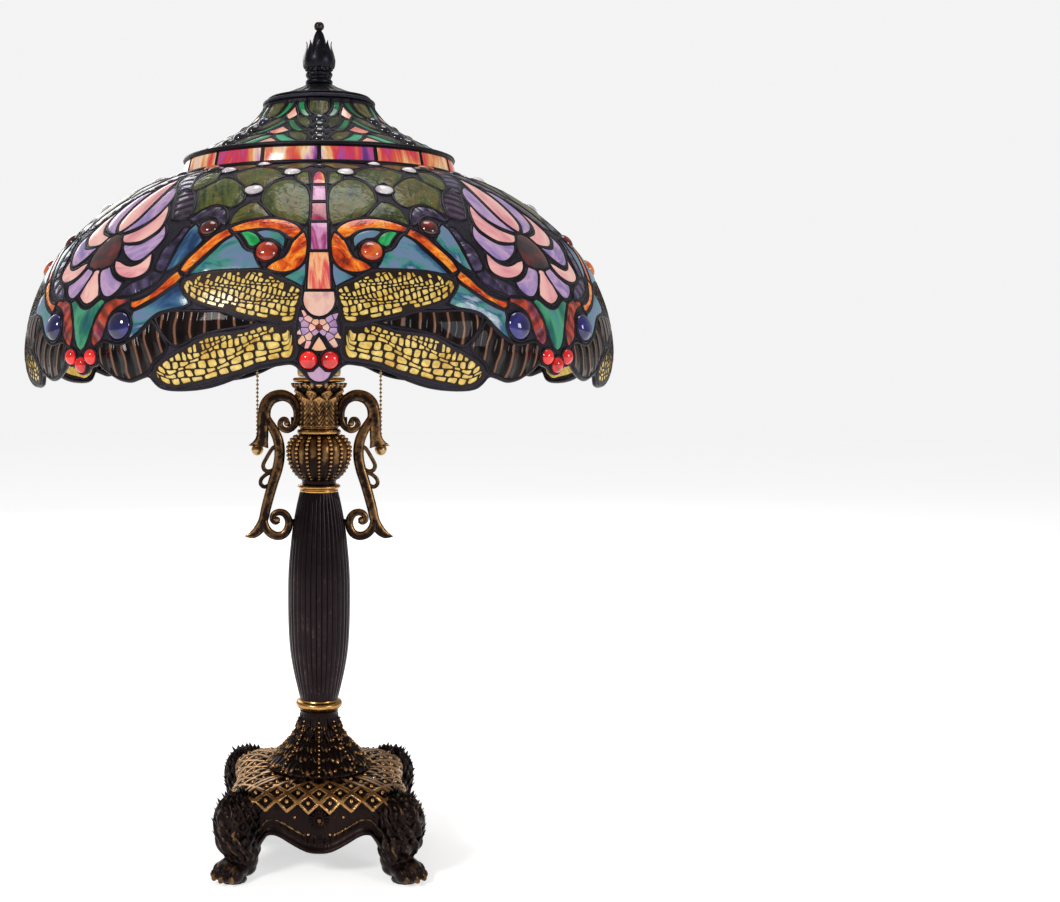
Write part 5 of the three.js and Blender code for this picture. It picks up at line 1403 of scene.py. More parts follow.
samples = []
rows, wear_and_highlight_rows = [], []
for k, z, ex in zip(kk, topP[:, 1], extra):
    r0 = k_of(PHI, k)
    d, inside_, L, W = lattice(r0 * np.cos(PHI), r0 * np.sin(PHI), ex)
    strap = (1 - sstep(d, 1.45, 2.15)) * inside_
    fade = float(sstep(k, 0.46, 0.54))
    h = (1.9 * strap - 0.3) * fade
    nrm = sstep(k, 0.6, 1.0)
    r = r0 + h * nrm * 0.9
    rows.append(np.column_stack([r * np.cos(PHI), r * np.sin(PHI), z + h * (1 - 0.75 * nrm)]))
    # Strap brightness falls toward the corners of each face: painted shade over the straps' rubbed gilt.
    wear_and_highlight_rows.append(0.03 + strap * fade * (0.92 - 0.25 * np.abs(np.sin(2 * loc)) - 0.12 * (k < 0.8)))
    samples.append(np.column_stack([L, W, r0 * np.cos(PHI), r0 * np.sin(PHI), np.full(NA, z), turn_]))
# the last straps run down over the edge and end in points; below them comes the apron,
# with a thin gilt line over a hollow moulding and a rolled edge
for z in np.concatenate([np.arange(53.4, 46.4, -0.55)]):
    r0 = plan(PHI)
    d, inside_, L, W = lattice(r0 * np.cos(PHI), r0 * np.sin(PHI), extra[-1] + 54.0 - z)
    strap = (1 - sstep(d, 1.45, 2.15)) * inside_
    h = 2.1 * strap - 0.5 * inside_ + 0.45 * np.sin(SIDE_MM * 1.1 + z * 0.9) * (1 - inside_)
    base_k = 1.0 - 0.030 * (1 - inside_) - 0.008 * sstep(54 - z, 0, 7)
    samples.append(np.column_stack([L, W, r0 * np.cos(PHI), r0 * np.sin(PHI), np.full(NA, z), turn_]))
    z_row = np.minimum(z, 53.6) + 0 * A
    r = base_k * plan(PHI) + h * 0.9
    rows.append(np.column_stack([r * np.cos(PHI), r * np.sin(PHI), z_row]))
    # Strap brightness falls toward the corners of each face: painted shade over the straps' rubbed gilt.
    wear_and_highlight_rows.append(0.03 + strap * (0.92 - 0.25 * np.abs(np.sin(2 * loc))))
ZT = 46.4
for f in np.linspace(0, 1, 30)[1:]:
    z = ZT + (EDGE - ZT) * f
    e = z - EDGE
    base_k = 0.962 + 0.020 * sstep(ZT - z, 6, 26)
    hold = sstep(ZT - z, 0.0, 1.5)
    h = 1.5 * np.exp(-(((e - 1.6) / 1.6) ** 2)) - 1.9 * np.exp(-(((e - 6.2) / 3.0) ** 2)) + 1.1 * np.exp(-(((e - 11.6) / 0.65) ** 2))
    h = h * np.where(SIDE_MM < 50, 1, 0.3) * hold
    leafy = (0.5 * np.sin(SIDE_MM * 1.25) * np.exp(-(((e - 15) / 6.5) ** 2)) + 0.45 * np.cos(SIDE_MM * 2.4) * (SIDE_MM < 9) * sstep(34 - z, 0, 3) * sstep(e, 2, 5)) * hold
    r = base_k * plan(PHI) + h + leafy
    rows.append(np.column_stack([r * np.cos(PHI), r * np.sin(PHI), z]))
    wear_and_highlight_rows.append(0.52 * np.exp(-(((e - 11.6) / 0.75) ** 2)) * np.where((SIDE_MM > 10) & (SIDE_MM < 46), 1, 0.1) * hold + 0.18 * sstep(leafy, 0.3, 0.5) + 0.03)
# inside
r = 0.93 * plan(PHI)
rows.append(np.column_stack([r * np.cos(PHI), r * np.sin(PHI), EDGE + 0.2]))
wear_and_highlight_rows.append(np.zeros(NA))
for k, z in ((0.925, 40.0), (0.92, 47.0), (0.87, 54.6), (0.77, 57.8), (0.63, 59.6), (0.40, 60.0), (0.0785, 60.2)):
    r = k_of(PHI, k) if k > 0.1 else np.full(NA, BORE)
    rows.append(np.column_stack([r * np.cos(PHI), r * np.sin(PHI), np.full(NA, z)]))
    wear_and_highlight_rows.append(np.zeros(NA))
rows.append(np.column_stack([BORE * np.cos(PHI), BORE * np.sin(PHI), np.full(NA, 66.4)]))
wear_and_highlight_rows.append(np.zeros(NA))
V = np.vstack(rows)
F = []
for i in range(len(rows)):
    a, b = i * NA, ((i + 1) % len(rows)) * NA
    for k in range(NA):
        j = (k + 1) % NA
        F.append((a + k, b + k, b + j, a + j))
M = Mesh()
M.add(V, F, "bronze", rub=np.concatenate(wear_and_highlight_rows))
# beads in the lattice
SMP = np.vstack(samples)
for s_ in range(4):
    own = SMP[np.abs(((SMP[:, 5] - s_ * math.pi / 2 + math.pi) % (2 * math.pi)) - math.pi) < 0.1]
    for row in range(-6, 2):
        for i in range(-5, 6):
            Lb, Wb = P_ * (i + (0.5 if row % 2 else 0.0)), P_ * 0.5 * row
            e = np.hypot(own[:, 0] - Lb, own[:, 1] - Wb)
            j = int(np.argmin(e))
            if e[j] > 1.1 or np.hypot(own[j, 2], own[j, 3]) < 33:
                continue
            V, F = ball((own[j, 2], own[j, 3], own[j, 4] + 0.2), 1.75, 9, 6)
            M.add(V, F, "bronze", rub=np.full(len(V), 1.05))
# rosettes and drops on the four sides
for s_ in range(4):
    R_ = Mesh()
    face = HALF * 0.955 * 0.957
    c = np.array((0, -face - 1.2, 44.2))
    for ring, (cnt, rr_, ln, wd) in enumerate(((16, 5.6, 3.6, 1.05), (16, 3.6, 2.6, 0.85))):
        for i in range(cnt):
            a = 2 * math.pi * (i + 0.5 * ring) / cnt
            u = np.array((math.sin(a), 0, math.cos(a)))
            V, F = ball(c + u * rr_ + np.array((0, -0.7 * ring, 0)), 1.0, 8, 6, (wd, 0.95, ln * 0.62), u)
            M.add(rot_z(V, 90 * s_), F, "bronze", rub=np.full(len(V), 0.27))
    V, F = ball(c + np.array((0, -1.2, 0)), 2.0, 12, 8)
    M.add(rot_z(V, 90 * s_), F, "bronze", rub=np.full(len(V), 0.45))
    for x, z in ((-18.4, 46.4), (18.4, 46.4), (-8.2, 33.4), (8.2, 33.4), (-46, 46.8), (46, 46.8)):
        V, F = ball((x, -face - 0.9, z), 1.25, 9, 6)
        M.add(rot_z(V, 90 * s_), F, "bronze", rub=np.full(len(V), 1.0))
    # little leaves that hang from the lattice
    for x in (-43, -39, -28, -23.6, -12.5, 12.5, 23.6, 28, 39, 43):
        V, F = ball((x, -face - 0.6, 48.6), 1.0, 8, 6, (1.3, 1.0, 4.2), (0.3 * (1 if x > 0 else -1), 0, 1))
        M.add(rot_z(V, 90 * s_), F, "bronze", rub=np.full(len(V), 0.28))
M.build("lattice_base", "root", ["base_casting"], "bronze", sharp=60)


# ---- legs: shaped from lumps, remeshed to one skin, then given hair and toes
def remeshed(parts, voxel, smooth):
    v, f, n = [], [], 0
    for V, F in parts:
        v.append(V)
        f.extend([tuple(i + n for i in q) for q in F])
        n += len(V)
    me = bpy.data.meshes.new("lumps")
    me.from_pydata((np.vstack(v) * MM).tolist(), [], f)
    o = bpy.data.objects.new("lumps", me)
    bpy.context.scene.collection.objects.link(o)
    m = o.modifiers.new("r", "REMESH")
    m.mode, m.voxel_size = "VOXEL", voxel * MM
    m = o.modifiers.new("s", "SMOOTH")
    m.factor, m.iterations = 0.5, smooth
    dg = bpy.context.evaluated_depsgraph_get()
    e = o.evaluated_get(dg).to_mesh()
    V = np.array([tuple(x.co) for x in e.vertices]) / MM
    N_ = np.array([tuple(x.normal) for x in e.vertices])
    F = [tuple(p.vertices) for p in e.polygons]
    o.evaluated_get(dg).to_mesh_clear()
    bpy.data.objects.remove(o)
    bpy.data.meshes.remove(me)
    return V, N_, F


def lump(c, rad, tilt=0.0):
    V, F = ball((0, 0, 0), 1.0, 22, 14, rad)
    a = tilt
    x, z = V[:, 0] * math.cos(a) + V[:, 2] * math.sin(a), -V[:, 0] * math.sin(a) + V[:, 2] * math.cos(a)
    V = np.column_stack([x, V[:, 1], z]) + np.array(c, float)
    return V, F


LEG = [lump((87.6, 0, 43), (17.2, 16.4, 21), -0.14), lump((86.5, 0, 31), (16.6, 15.6, 14)), lump((82.6, 0, 21), (14.0, 13.6, 10)), lump((81.6, 0, 13), (12.4, 12.0, 9)),
       lump((90.5, 0, 9.4), (13.5, 12.2, 8.0)), lump((82, 0, 7.6), (11.0, 11.2, 6.4))]
for y_, x_ in ((3.7, 100.2), (-3.7, 100.2), (9.9, 95.6), (-9.9, 95.6)):
    LEG.append(lump((x_, y_, 7.2), (6.4, 3.5, 5.6)))
CLAWS = [lump((x_ + 5.3, y_ * 1.03, 5.4), (3.3, 1.5, 2.9), 0.35) for y_, x_ in ((3.7, 100.4), (-3.7, 100.4), (9.9, 96.0), (-9.9, 96.0))]
LV, LN, LF = remeshed(LEG, 0.95, 3)
psi = np.arctan2(LV[:, 1], LV[:, 0] - 83.5)
z = LV[:, 2]
strand = 0.5 + 0.5 * np.sin(psi * 13 + 0.30 * z + 1.3 * np.sin(z * 0.19 + psi * 2) + 0.6 * np.sin(z * 0.55))
fur = sstep(z, 13, 20)
h = fur * (1.9 * strand**1.6 - 0.7)
toe = (1 - fur) * sstep(LV[:, 0], 92, 99)
LVd = LV + LN * h[:, None]
LVd[:, 2] = np.maximum(LVd[:, 2], 2.0)
# Hair strands are rubbed bright on their crests; the toes are lighter where they face up, a painted highlight.
rub = fur * 0.30 * strand**3 + toe * 0.30 * sstep(LN[:, 2], 0.1, 0.8) + 0.05


def blade(base, tip_dir, side_dir, L, W, T, bend=0.0, n=5):
    """A pointed leaflet with a raised rib."""
    d, s = np.array(tip_dir, float), np.array(side_dir, float)
    d /= np.linalg.norm(d)
    s -= d * s.dot(d)
    s /= np.linalg.norm(s)
    u = np.cross(s, d)
    V = []
    for i in range(n + 1):
        t = i / n
        w = W * (math.sin(math.pi * min(1, 0.22 + 0.78 * t) ** 0.9) * 0.5 + 0.02) * (1 - 0.15 * t)
        c = np.array(base, float) + d * L * t + u * bend * t * t
        th = T * (1 - 0.85 * t)
        V += [c - s * w, c + u * th, c + s * w, c - u * th * 0.6]
    F = []
    for i in range(n):
        for k in range(4):
            j = (k + 1) % 4
            F.append((4 * i + k, 4 * i + j, 4 * i + 4 + j, 4 * i + 4 + k))
    F += [(3, 2, 1, 0), (4 * n, 4 * n + 1, 4 * n + 2, 4 * n + 3)]
    R = np.array([0.05 + 0.95 * (i / n) ** 1.3 * (1.0 if k == 1 else 0.75) for i in range(n + 1) for k in range(4)])
    return np.array(V), F, R


LEAVES = []
lr = random.Random(4)
for j, zz in enumerate((60.0, 54.5, 49.0, 43.5, 38.0, 32.5, 27.0)):
    rad = float(np.interp(zz, [20, 27, 34, 42, 50, 58, 63], [12.6, 15.6, 16.8, 17.0, 15.4, 11.2, 6.0]))
    cx = float(np.interp(zz, [20, 30, 42, 60], [82.6, 86.3, 87.4, 87.0]))
    for a in np.radians(np.array([-104, -78, -52, -26, 0, 26, 52, 78, 104]) + (13 if j % 2 else 0)):
        o_ = np.array((math.cos(a), math.sin(a), 0))
        b_ = np.array((cx, 0, zz - 2.0)) + o_ * (rad - 1.0)
        if b_[0] < 78:
            continue
        t_ = o_ * (0.42 if zz > 30 else 0.25) + np.array((0, 0, 1.0)) + 0.35 * np.array((lr.random() - 0.5, lr.random() - 0.5, 0))
        LEAVES.append(blade(b_, t_, np.cross(o_, (0, 0, 1)), 6.0 + 2.0 * lr.random(), 5.4, 1.5, -0.8))
# crest on the cushion's corner
for a_, L_ in ((0, 9.5), (28, 7.5), (-28, 7.5), (55, 6.5), (-55, 6.5)):
    a = math.radians(a_)
    LEAVES.append(blade((77 + 2 * math.cos(a), 7.5 * math.sin(a), 60.5), (0.25 * math.cos(a), 0.35 * math.sin(a), 1.0), (0, 1, 0.1), L_, 5.6, 1.7, 1.2))
for k in range(6):
    for sg in (-1, 1):
        b_ = (70 - 4.2 * k + 2, sg * (6.0 + 1.6 * k), 62.6 + 0.4 * k)
        LEAVES.append(blade(b_, (0.35, sg * 0.8, 0.42), (1, 0, 0), 5.4, 4.2, 1.1, 0.6))
for i, (nm, turn) in enumerate((("front_left", 225), ("front_right", 315), ("back_right", 45), ("back_left", 135))):
    M = Mesh()
    M.add(rot_z(LVd, turn), LF, "bronze", rub=rub)
    for V, F in CLAWS:
        M.add(rot_z(V, turn), F, "bronze", rub=np.full(len(V), 0.40))
    for V, F, R in LEAVES:
        M.add(rot_z(V, turn), F, "bronze", rub=R * 0.52)
    M.build("paw_leg_" + nm, "root", ["base_casting"], "bronze", sharp=0)

# ---- scroll handles
CURL = [(25.0, 339.4), (26.4, 342.0), (29.4, 341.8), (31.0, 338.4), (29.2, 334.8), (25.4, 333.4), (21.6, 335.2)]
LOOP = [(22.4, 334.6), (19.0, 338.4), (17.4, 344.0), (17.8, 350.6), (21.0, 357.0), (26.6, 360.6), (32.4, 360.8), (38.2, 358.4), (42.2, 353.2), (43.4, 346.4), (42.0, 339.4)]
STEM = [(43.2, 348.0), (40.4, 341.0), (36.2, 334.0), (32.8, 326.4), (31.4, 318.6), (31.6, 310.4), (33.4, 301.6), (36.4, 292.2), (39.4, 281.8), (42.2, 271.0), (44.4, 261.6), (48.0, 254.4), (52.8, 250.4), (58.6, 249.0)]
FAN = [(43.0, 354.0), (44.4, 346.0), (44.8, 338.0), (44.8, 331.0), (45.6, 325.6), (46.9, 321.0)]
VOLUTE = [(43.6, 262.6), (42.0, 255.4), (37.6, 250.8), (32.0, 249.4), (27.2, 251.4), (24.4, 256.2), (24.2, 262.0), (27.0, 266.8), (31.6, 268.4), (35.8, 266.6), (37.0, 262.6), (34.6, 260.4), (32.2, 262.0)]
FROND1 = [(33.0, 321.0), (37.0, 319.0), (41.4, 312.0), (44.4, 305.8), (43.2, 301.8), (39.2, 300.8), (34.4, 303.4)]
FROND2 = [(36.4, 299.4), (41.0, 298.8), (45.6, 295.0), (46.4, 290.8), (43.2, 288.4), (38.4, 290.6)]


def ribbon(mesh, path, wid, dep, side, groove=0.34, ridges=0, steps=5, sides=14, rub0=0.28, mat="bronze"):
    P = catmull(path, steps)
    n = len(P)
    W = np.interp(np.linspace(0, 1, n), np.linspace(0, 1, len(wid)), wid)
    D_ = np.interp(np.linspace(0, 1, n), np.linspace(0, 1, len(dep)), dep)
    T = np.gradient(P, axis=0)
    T /= np.linalg.norm(T, axis=1)[:, None]
    N_ = np.column_stack([-T[:, 1], T[:, 0]])
    V, R = [], []
    for i in range(n):
        for k in range(sides):
            a = 2 * math.pi * k / sides
            c, s = math.cos(a), math.sin(a)
            dd = math.copysign(abs(s) ** 0.75, s) * D_[i]
            if ridges:
                dd *= 0.70 + 0.30 * math.cos(2 * math.pi * ridges * c * 0.5)
            else:
                dd *= 1 - groove * math.exp(-((c / 0.34) ** 2))
            q = P[i] + N_[i] * W[i] * c
            V.append((side * q[0], dd, q[1]))
            # Brighter near the ribbon's edges and most on its upper side: rubbed edges, with a painted highlight on the
            # upward-facing side.
            R.append(rub0 + 0.30 * math.exp(-(((abs(c) - 0.62) / 0.22) ** 2)) * (0.35 + 0.65 * (N_[i][1] * c > 0)) + 0.26 * max(0.0, N_[i][1] * c))
    F = []
    for i in range(n - 1):
        for k in range(sides):
            j = (k + 1) % sides
            q = (i * sides + k, i * sides + j, (i + 1) * sides + j, (i + 1) * sides + k)
            F.append(q if side < 0 else q[::-1])
    a, b = tuple(range(sides)), tuple(range((n - 1) * sides, n * sides))
    F += [a[::-1], b] if side < 0 else [a, b[::-1]]
    mesh.add(np.array(V), F, mat, rub=np.array(R))


for side, word in ((-1, "left"), (1, "right")):
    M = Mesh()
    ribbon(M, CURL, [1.9, 2.0, 2.1, 2.3, 2.4, 2.5, 2.7], [3.0, 3.3, 3.4], side, groove=0.12)
    ribbon(M, LOOP, [2.8, 2.9, 3.1, 3.5, 4.2, 4.7, 5.0, 5.2, 5.0, 4.4], [3.4, 3.7, 3.8, 3.6, 3.2], side, groove=0.16)
    ribbon(M, STEM, [2.4, 3.4, 3.9, 4.2, 4.3, 4.3, 4.3, 4.2, 4.1, 4.0, 3.9, 4.2, 3.2, 0.5], [2.8, 3.6, 3.8, 3.8, 3.7, 3.6, 3.3, 2.4, 0.9], side, groove=0.16)
    ribbon(M, FAN, [3.8, 4.5, 4.6, 4.6, 5.2, 7.0], [3.4, 3.5, 3.3, 2.8, 1.8], side, groove=0.2, sides=20)
    for (x0, z0), (dx, dz), L_ in (((49.8, 323.0), (0.92, -0.26), 6.6), ((43.0, 323.4), (-0.7, -0.6), 3.4)):
        V, F, R = blade((side * x0, 0, z0), (side * dx, 0, dz), (dz, 0, -side * dx), L_, 3.6, 1.6)
        M.add(V, F, "bronze", rub=R)
    ribbon(M, VOLUTE, [2.6, 3.4, 3.5, 3.5, 3.4, 3.3, 3.2, 3.0, 2.8, 2.6, 2.4, 2.3, 2.4], [3.2, 3.4, 3.4, 3.2, 3.0], side, groove=0.14)
    ribbon(M, FROND1, [1.7, 1.6, 1.6, 1.7, 1.7, 1.6], [1.9, 1.8, 1.7], side, groove=0.1, sides=10)
    ribbon(M, FROND2, [1.6, 1.6, 1.6, 1.7, 1.6], [1.9, 1.8, 1.7], side, groove=0.1, sides=10)
    for c_, r_ in (((side * 25.4, 0, 339.0), 2.6), ((side * 33.4, 0, 262.2), 2.6)):
        V, F = ball(c_, r_, 14, 10, (1, 1.25, 1))
        M.add(V, F, "bronze", rub=np.full(len(V), 0.6))
    for x_, z_ in ((19.4, 341.2), (22.0, 260.2)):   # bosses that seat the handle on the stem
        V, F = tube([(side * (x_ - 3.2), 0, z_), (side * x_, 0, z_), (side * (x_ + 3.0), 0, z_)], [3.0, 2.6, 2.9], 14, up=(0, 1, 0))
        M.add(V, F, "bronze", rub=np.full(len(V), 0.2))
    M.build("scroll_handle_" + word, "root", ["scroll_" + word], "bronze", sharp=0)

# ------------------------------------------------------------------ electric fitting
prof = catmull([(14.2, 376.0), (16.6, 376.6), (17.1, 378.6), (17.2, 382), (17.2, 397.4), (16.4, 399.4), (13.2, 401.6), (12.8, 404), (12.9, 409.4)], 4)
V, F, R = lathe(wrap(prof), 96)
M = Mesh()
M.add(V, F, "brass")
for s_ in (-1, 1):    # cover screws
    for a in (90,):
        V, F = ball((0, s_ * 17.3, 388), 2.3, 12, 8, (1, 0.45, 1))
        M.add(V, F, "bright_brass")
M.build("light_cluster", "root", ["cluster_body"], "brass", sharp=40)

# the threaded riser
zz = np.arange(399.6, 615.9, 0.5)
thr = [(4.9 - 0.35 * (1 if int(i) % 2 else 0), float(z)) for i, z in enumerate(zz)]
V, F, R = lathe([(1.2, 399.6)] + thr + [(1.2, 616.0)], 20)
M = Mesh()
M.add(V, F, "steel")
M.build("threaded_riser", "root", ["riser_rod"], "steel", sharp=25)

TILT = math.radians(52)


def on_light(V, side):
    """From a light's own frame (z along its axis) to the lamp's."""
    V = np.asarray(V, float)
    c, s = math.cos(TILT), math.sin(TILT)
    x = V[:, 0] * c + V[:, 2] * s
    z = -V[:, 0] * s + V[:, 2] * c
    return np.column_stack([side * (17.8 + x), V[:, 1], 399.6 + z])


def flip(F, side):
    return [tuple(f[::-1]) for f in F] if side < 0 else F


for side, word in ((-1, "left"), (1, "right")):
    M = Mesh()
    V, F, R = lathe([(1.6, 3.6), (5.0, 3.6), (5.1, 8.0)] + [tuple(p) for p in catmull([(6.0, 8.6), (11.0, 9.8), (14.8, 12.4), (16.8, 15.6), (17.3, 18.0)], 5)] + [(17.3, 20.2), (16.6, 20.3), (1.6, 20.3)], 72)
    M.add(on_light(V, side), flip(F, side), "brass")
    M.build("socket_cap_" + word, "root", ["socket_cap_" + word], "brass", sharp=35)
    M = Mesh()
    sh = [(15.7, 20.5), (17.2, 20.6), (17.3, 22.4), (16.8, 23.2), (16.8, 27.0), (17.1, 27.6), (17.1, 28.6), (16.8, 29.2), (16.8, 50.4), (17.2, 51.2), (17.2, 52.4), (16.8, 53.2), (16.8, 55.4), (16.3, 56.0), (15.7, 55.8)]
    V, F, R = lathe(sh, 96, shape=lambda a, r, z: r - (0.28 * (0.5 + 0.5 * math.cos(48 * a)) if 29.5 < z < 50 and r > 16 else 0))
    M.add(on_light(V, side), flip(F, side), "brass")
    M.build("socket_shell_" + word, "root", ["socket_shell_" + word], "brass", sharp=35)
    M = Mesh()
    V, F, R = lathe([(2.2, 20.8), (15.2, 20.8), (15.2, 53.6), (14.9, 54.0), (13.9, 54.0), (13.6, 53.6), (13.6, 30.2), (13.2, 30.0), (2.2, 30.0)], 56)
    M.add(on_light(V, side), flip(F, side), "porcelain")
    M.build("socket_core_" + word, "root", ["socket_core_" + word], "porcelain", sharp=35)
    # bulb: a threaded cap and a frosted envelope
    M = Mesh()
    th = [(4.0, 31.0), (5.8, 31.6), (6.0, 33.0), (9.0, 34.6), (12.2, 36.6)]
    z_ = 37.4
    while z_ < 57.4:
        th += [(12.85, z_), (12.9, z_ + 0.9), (12.1, z_ + 1.9), (12.1, z_ + 2.2)]
        z_ += 3.2
    th += [(12.7, 58.4), (11.9, 61.0), (2.0, 61.0), (2.0, 31.0)]
    V, F, R = lathe(th, 48)
    M.add(on_light(V, side), flip(F, side), "steel")
    M.build("bulb_cap_" + word, "bulb_" + word, ["bulb_base_" + word], "steel", sharp=45)
    M = Mesh()
    env = catmull([(11.4, 61.3), (12.4, 64.5), (14.5, 68.6), (20.5, 78.8), (26.4, 89.4), (29.5, 101), (29.2, 112), (25.4, 121.8), (17.8, 129.6), (9.0, 134.0), (3.0, 135.2)], 5)
    V, F, R = lathe([(3.0, 61.3)] + [tuple(p) for p in env], 64)
    M.add(on_light(V, side), flip(F, side), "bulbglass")
    M.build("bulb_envelope_" + word, "bulb_" + word, ["bulb_glass_" + word], "bulb", sharp=60)
    # chain guide, coupling, chain and ball
    M = Mesh()
    V, F, R = lathe([(2.0, 416.6), (3.6, 416.6), (4.0, 417.0), (3.9, 417.8), (3.2, 419.0), (3.1, 422.0), (3.3, 424.2), (3.1, 424.6), (2.0, 424.6)], 32)
    M.add(V + np.array((side * 50, 22, 0)), F, "bright_brass")
    M.build("chain_guide_" + word, "root", ["chain_guide_" + word], "brass", sharp=40)
    M = Mesh()
    V, F, R = lathe([(0.3, 414.2), (1.2, 414.2), (1.5, 414.8), (1.5, 417.2), (0.95, 418.2), (0.95, 419.4), (1.5, 420.2), (1.5, 423.6), (1.1, 424.2), (0.3, 424.2)], 18)
    M.add(V + np.array((side * 50, 22, 0)), F, "bright_brass")
    M.build("chain_coupling_" + word, "switch_" + word, ["chain_coupling_" + word], "brass", sharp=40)
    M = Mesh()
    n_b = 28
    for i in range(n_b):
        z_ = 322.9 + (412.2 - 322.9) * i / (n_b - 1)
        V, F = ball((side * 50, 22, z_), 1.18, 10, 8)
        M.add(V, F, "bright_brass")
    V, F = tube([(side * 50, 22, 321.9), (side * 50, 22, 367.0), (side * 50, 22, 412.9)], 0.36, 8, up=(0, 1, 0))
    M.add(V, F, "brass")
    M.build("bead_chain_" + word, "chain_" + word, ["pull_chain_" + word], "brass", sharp=60)
    M = Mesh()
    pb = [(0.4, 311.7), (2.0, 312.1), (3.6, 313.3), (4.6, 315.0), (4.85, 316.2), (4.85, 316.9), (4.5, 318.4), (3.5, 319.8), (2.3, 320.5), (2.1, 321.0), (2.2, 321.3), (0.4, 321.4)]
    V, F, R = lathe([tuple(p) for p in catmull(pb, 3)], 40)
    M.add(V + np.array((side * 50, 22, 0)), F, "bright_brass")
    M.build("pull_ball_" + word, "chain_" + word, ["pull_ball_" + word], "brass", sharp=60)

# ------------------------------------------------------------------ top of the shade
M = Mesh()
tr = catmull([(39.0, 587.5), (40.1, 587.5), (40.3, 590.3), (43.2, 590.4), (44.6, 591.2), (44.3, 592.8), (42.6, 593.9), (39.2, 593.9)], 4)
V, F, R = lathe([tuple(p) for p in tr], 160)
M.add(V, F, "solder")
M.build("aperture_ring", "shade", ["top_ring"], "lead", sharp=50)

M = Mesh()
hc = catmull([(5.25, 607.3), (9.0, 607.3), (11.6, 607.2), (14.0, 605.9), (16.6, 604.5), (20.0, 602.9), (23.2, 601.4), (27.5, 599.7), (31.6, 598.2), (36.0, 596.8), (39.2, 596.2)], 3)
hb = [(40.4, 596.3), (41.1, 595.7), (41.0, 594.9), (40.4, 594.5), (36, 594.9), (31.0, 595.4), (22.4, 598.3), (16.8, 601.3), (11.4, 604.3), (5.25, 604.4)]


def gadroon(a, r, z):
    if z < 595.6 and r < 40:
        return r
    return r


V, F, R = lathe([tuple(p) for p in hc] + hb, 192)
ph = np.arctan2(V[:, 1], V[:, 0])
rr = np.hypot(V[:, 0], V[:, 1])
topside = V[:, 2] > np.interp(rr, [5, 11, 22, 31, 41], [605.8, 605.8, 600.4, 597.0, 595.6])
V[:, 2] += np.where(topside & (rr > 14) & (rr < 38), 0.32 * np.cos(ph * 24) * sstep(rr, 14, 24) * (1 - sstep(rr, 34, 38)), 0)
M.add(V, F, "black_bronze", rub=np.where(topside, 0.16 + 0.12 * np.cos(ph * 24), 0.1))
M.build("vent_cap", "shade", ["heat_cap"], "bronze", sharp=60)

# finial: a knob on a cone that rises from a crown of petals
M = Mesh()
fin = catmull([(10.2, 607.9), (10.7, 608.8), (10.8, 610.4), (9.7, 611.8), (9.3, 613.2), (10.3, 615.2), (10.2, 616.8), (9.3, 618.2), (9.7, 620.0), (11.0, 623.0), (11.2, 626.6), (10.2, 630.8), (8.2, 634.6),
               (6.6, 637.6), (5.6, 641.0), (4.6, 645.0), (3.4, 648.6), (2.3, 650.4), (2.3, 651.2), (3.4, 652.2), (4.0, 653.8), (3.8, 655.6), (2.7, 657.3), (1.0, 657.9)], 4)
V, F, R = lathe([(0.6, 607.9)] + [tuple(p) for p in fin] + [(0.6, 657.9)], 72,
                shape=lambda a, r, z: r + (0.35 * math.cos(14 * a) if 612.5 < z < 617.5 and r > 6 else 0) + (0.4 * abs(math.cos(4 * a)) if 620 < z < 634 and r > 6 else 0))
z = V[:, 2]
M.add(V, F, "black_bronze", rub=0.10 + 0.30 * sstep(z, 649, 653) + 0.16 * (np.abs(z - 609.5) < 1.2))
for k in range(8):
    a = math.radians(45 * k - 90)
    V, F, R = blade((9.4, 0, 620.6), (0.06, 0, 1.0), (0, 1, 0), 21.8, 9.2, 2.4, 0.0, n=10)
    # follow the belly of the cup, then stand away from the cone
    zz_ = V[:, 2]
    V[:, 0] += np.interp(zz_, [620, 623, 627, 632, 637, 640, 642.6], [0.0, 1.1, 1.5, 0.6, -0.9, -1.3, -0.7])
    M.add(rot_z(V, 45 * k - 90), F, "black_bronze", rub=R * 0.45)
for k in range(14):
    a = 2 * math.pi * k / 14
    V, F = ball((10.3 * math.cos(a), 10.3 * math.sin(a), 619.6), 0.95, 9, 6)
    M.add(V, F, "black_bronze", rub=np.full(len(V), 0.4))
M.build("finial_crown", "finial", ["finial"], "bronze", sharp=60)

# ------------------------------------------------------------------ hidden pieces kept from the CAD
KEEP = {"paw_pad_1": "felt", "paw_pad_2": "felt", "paw_pad_3": "felt", "paw_pad_4": "felt", "ballast_disc": "iron", "rod_washer": "steel", "rod_nut": "steel", "lamp_pipe": "steel",
        "cord_bushing": "plastic", "shade_seat": "brass", "spider_plate": "brass"}
for node, mat in KEEP.items():
    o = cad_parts[node]
    o.data.materials.clear()
    o.data.materials.append(MAT[mat])

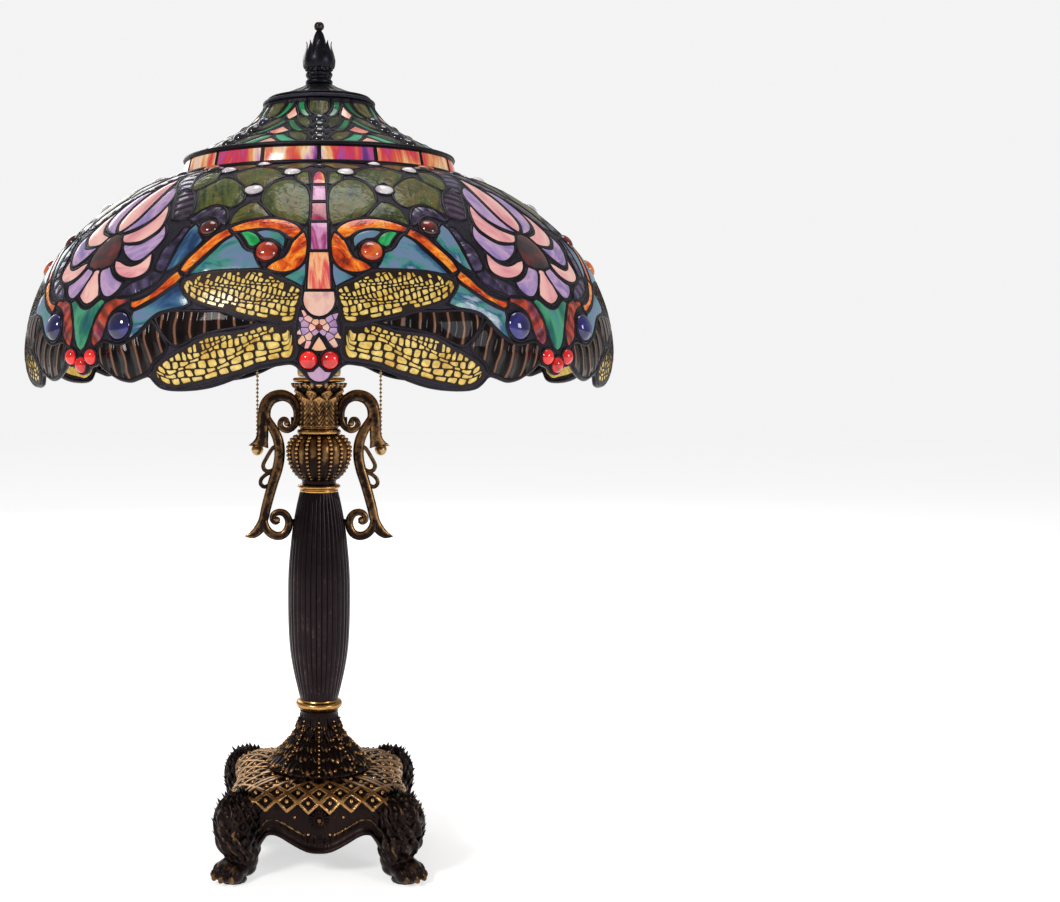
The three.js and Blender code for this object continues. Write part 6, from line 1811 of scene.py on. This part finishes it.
# ------------------------------------------------------------------ camera, light and floor
scene = bpy.context.scene
scene.view_settings.view_transform = "Standard"
cam = bpy.data.objects.new("camera", bpy.data.cameras.new("camera"))
scene.collection.objects.link(cam)
scene.camera = cam
cam.data.sensor_width = 36.0
cam.data.lens = CAM_LENS
cam.data.shift_x, cam.data.shift_y = CAM_SHIFT_X, CAM_SHIFT_Y
cam.data.clip_start, cam.data.clip_end = 0.01, 50
cam.location = (0.0, -CAM_D, CAM_Z)
cam.rotation_euler = (math.radians(90), 0, 0)


def area(name, loc, aim, size, power, color=(1, 1, 1)):
    d = bpy.data.lights.new(name, "AREA")
    d.shape = "RECTANGLE"
    d.size, d.size_y = size
    d.energy, d.color = power, color
    o = bpy.data.objects.new(name, d)
    scene.collection.objects.link(o)
    o.location = loc
    o.rotation_euler = (Vector(aim) - Vector(loc)).to_track_quat("-Z", "Y").to_euler()
    return o


area("key", (-1.5, -1.9, 1.7), (0, 0, 0.42), (0.55, 0.55), 34, (1.0, 0.985, 0.96))
area("fill", (1.9, -1.5, 0.9), (0, 0, 0.35), (0.7, 0.7), 15, (0.97, 0.985, 1.0))
area("top", (0.1, 0.3, 2.3), (0, 0, 0.4), (0.9, 0.9), 11)
area("back", (-0.6, 2.0, 1.2), (0, 0, 0.4), (1.6, 1.0), 12)
world = bpy.data.worlds.new("studio")
scene.world = world
world.use_nodes = True
world.node_tree.nodes["Background"].inputs["Color"].default_value = (1.0, 1.0, 1.0, 1)
# the studio gives soft white light, with a brighter paper backdrop behind
wt = world.node_tree
back = wt.nodes["Background"]
back.inputs["Strength"].default_value = 0.36
paper = wt.nodes.new("ShaderNodeBackground")
paper.inputs["Color"].default_value = (1.0, 1.0, 1.0, 1)
paper.inputs["Strength"].default_value = 0.90
pick = wt.nodes.new("ShaderNodeMixShader")
path = wt.nodes.new("ShaderNodeLightPath")
wt.links.new(path.outputs["Is Camera Ray"], pick.inputs[0])
wt.links.new(back.outputs[0], pick.inputs[1])
wt.links.new(paper.outputs[0], pick.inputs[2])
wt.links.new(pick.outputs[0], wt.nodes["World Output"].inputs["Surface"])

fm = bpy.data.meshes.new("floor")
n, R = 48, 6.0
fm.from_pydata([(R * math.cos(2 * math.pi * k / n), R * math.sin(2 * math.pi * k / n), 0) for k in range(n)], [], [tuple(range(n))])
fm.materials.append(MAT["paper_floor"])
floor = bpy.data.objects.new("floor", fm)
scene.collection.objects.link(floor)
floor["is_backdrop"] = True


lo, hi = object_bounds()
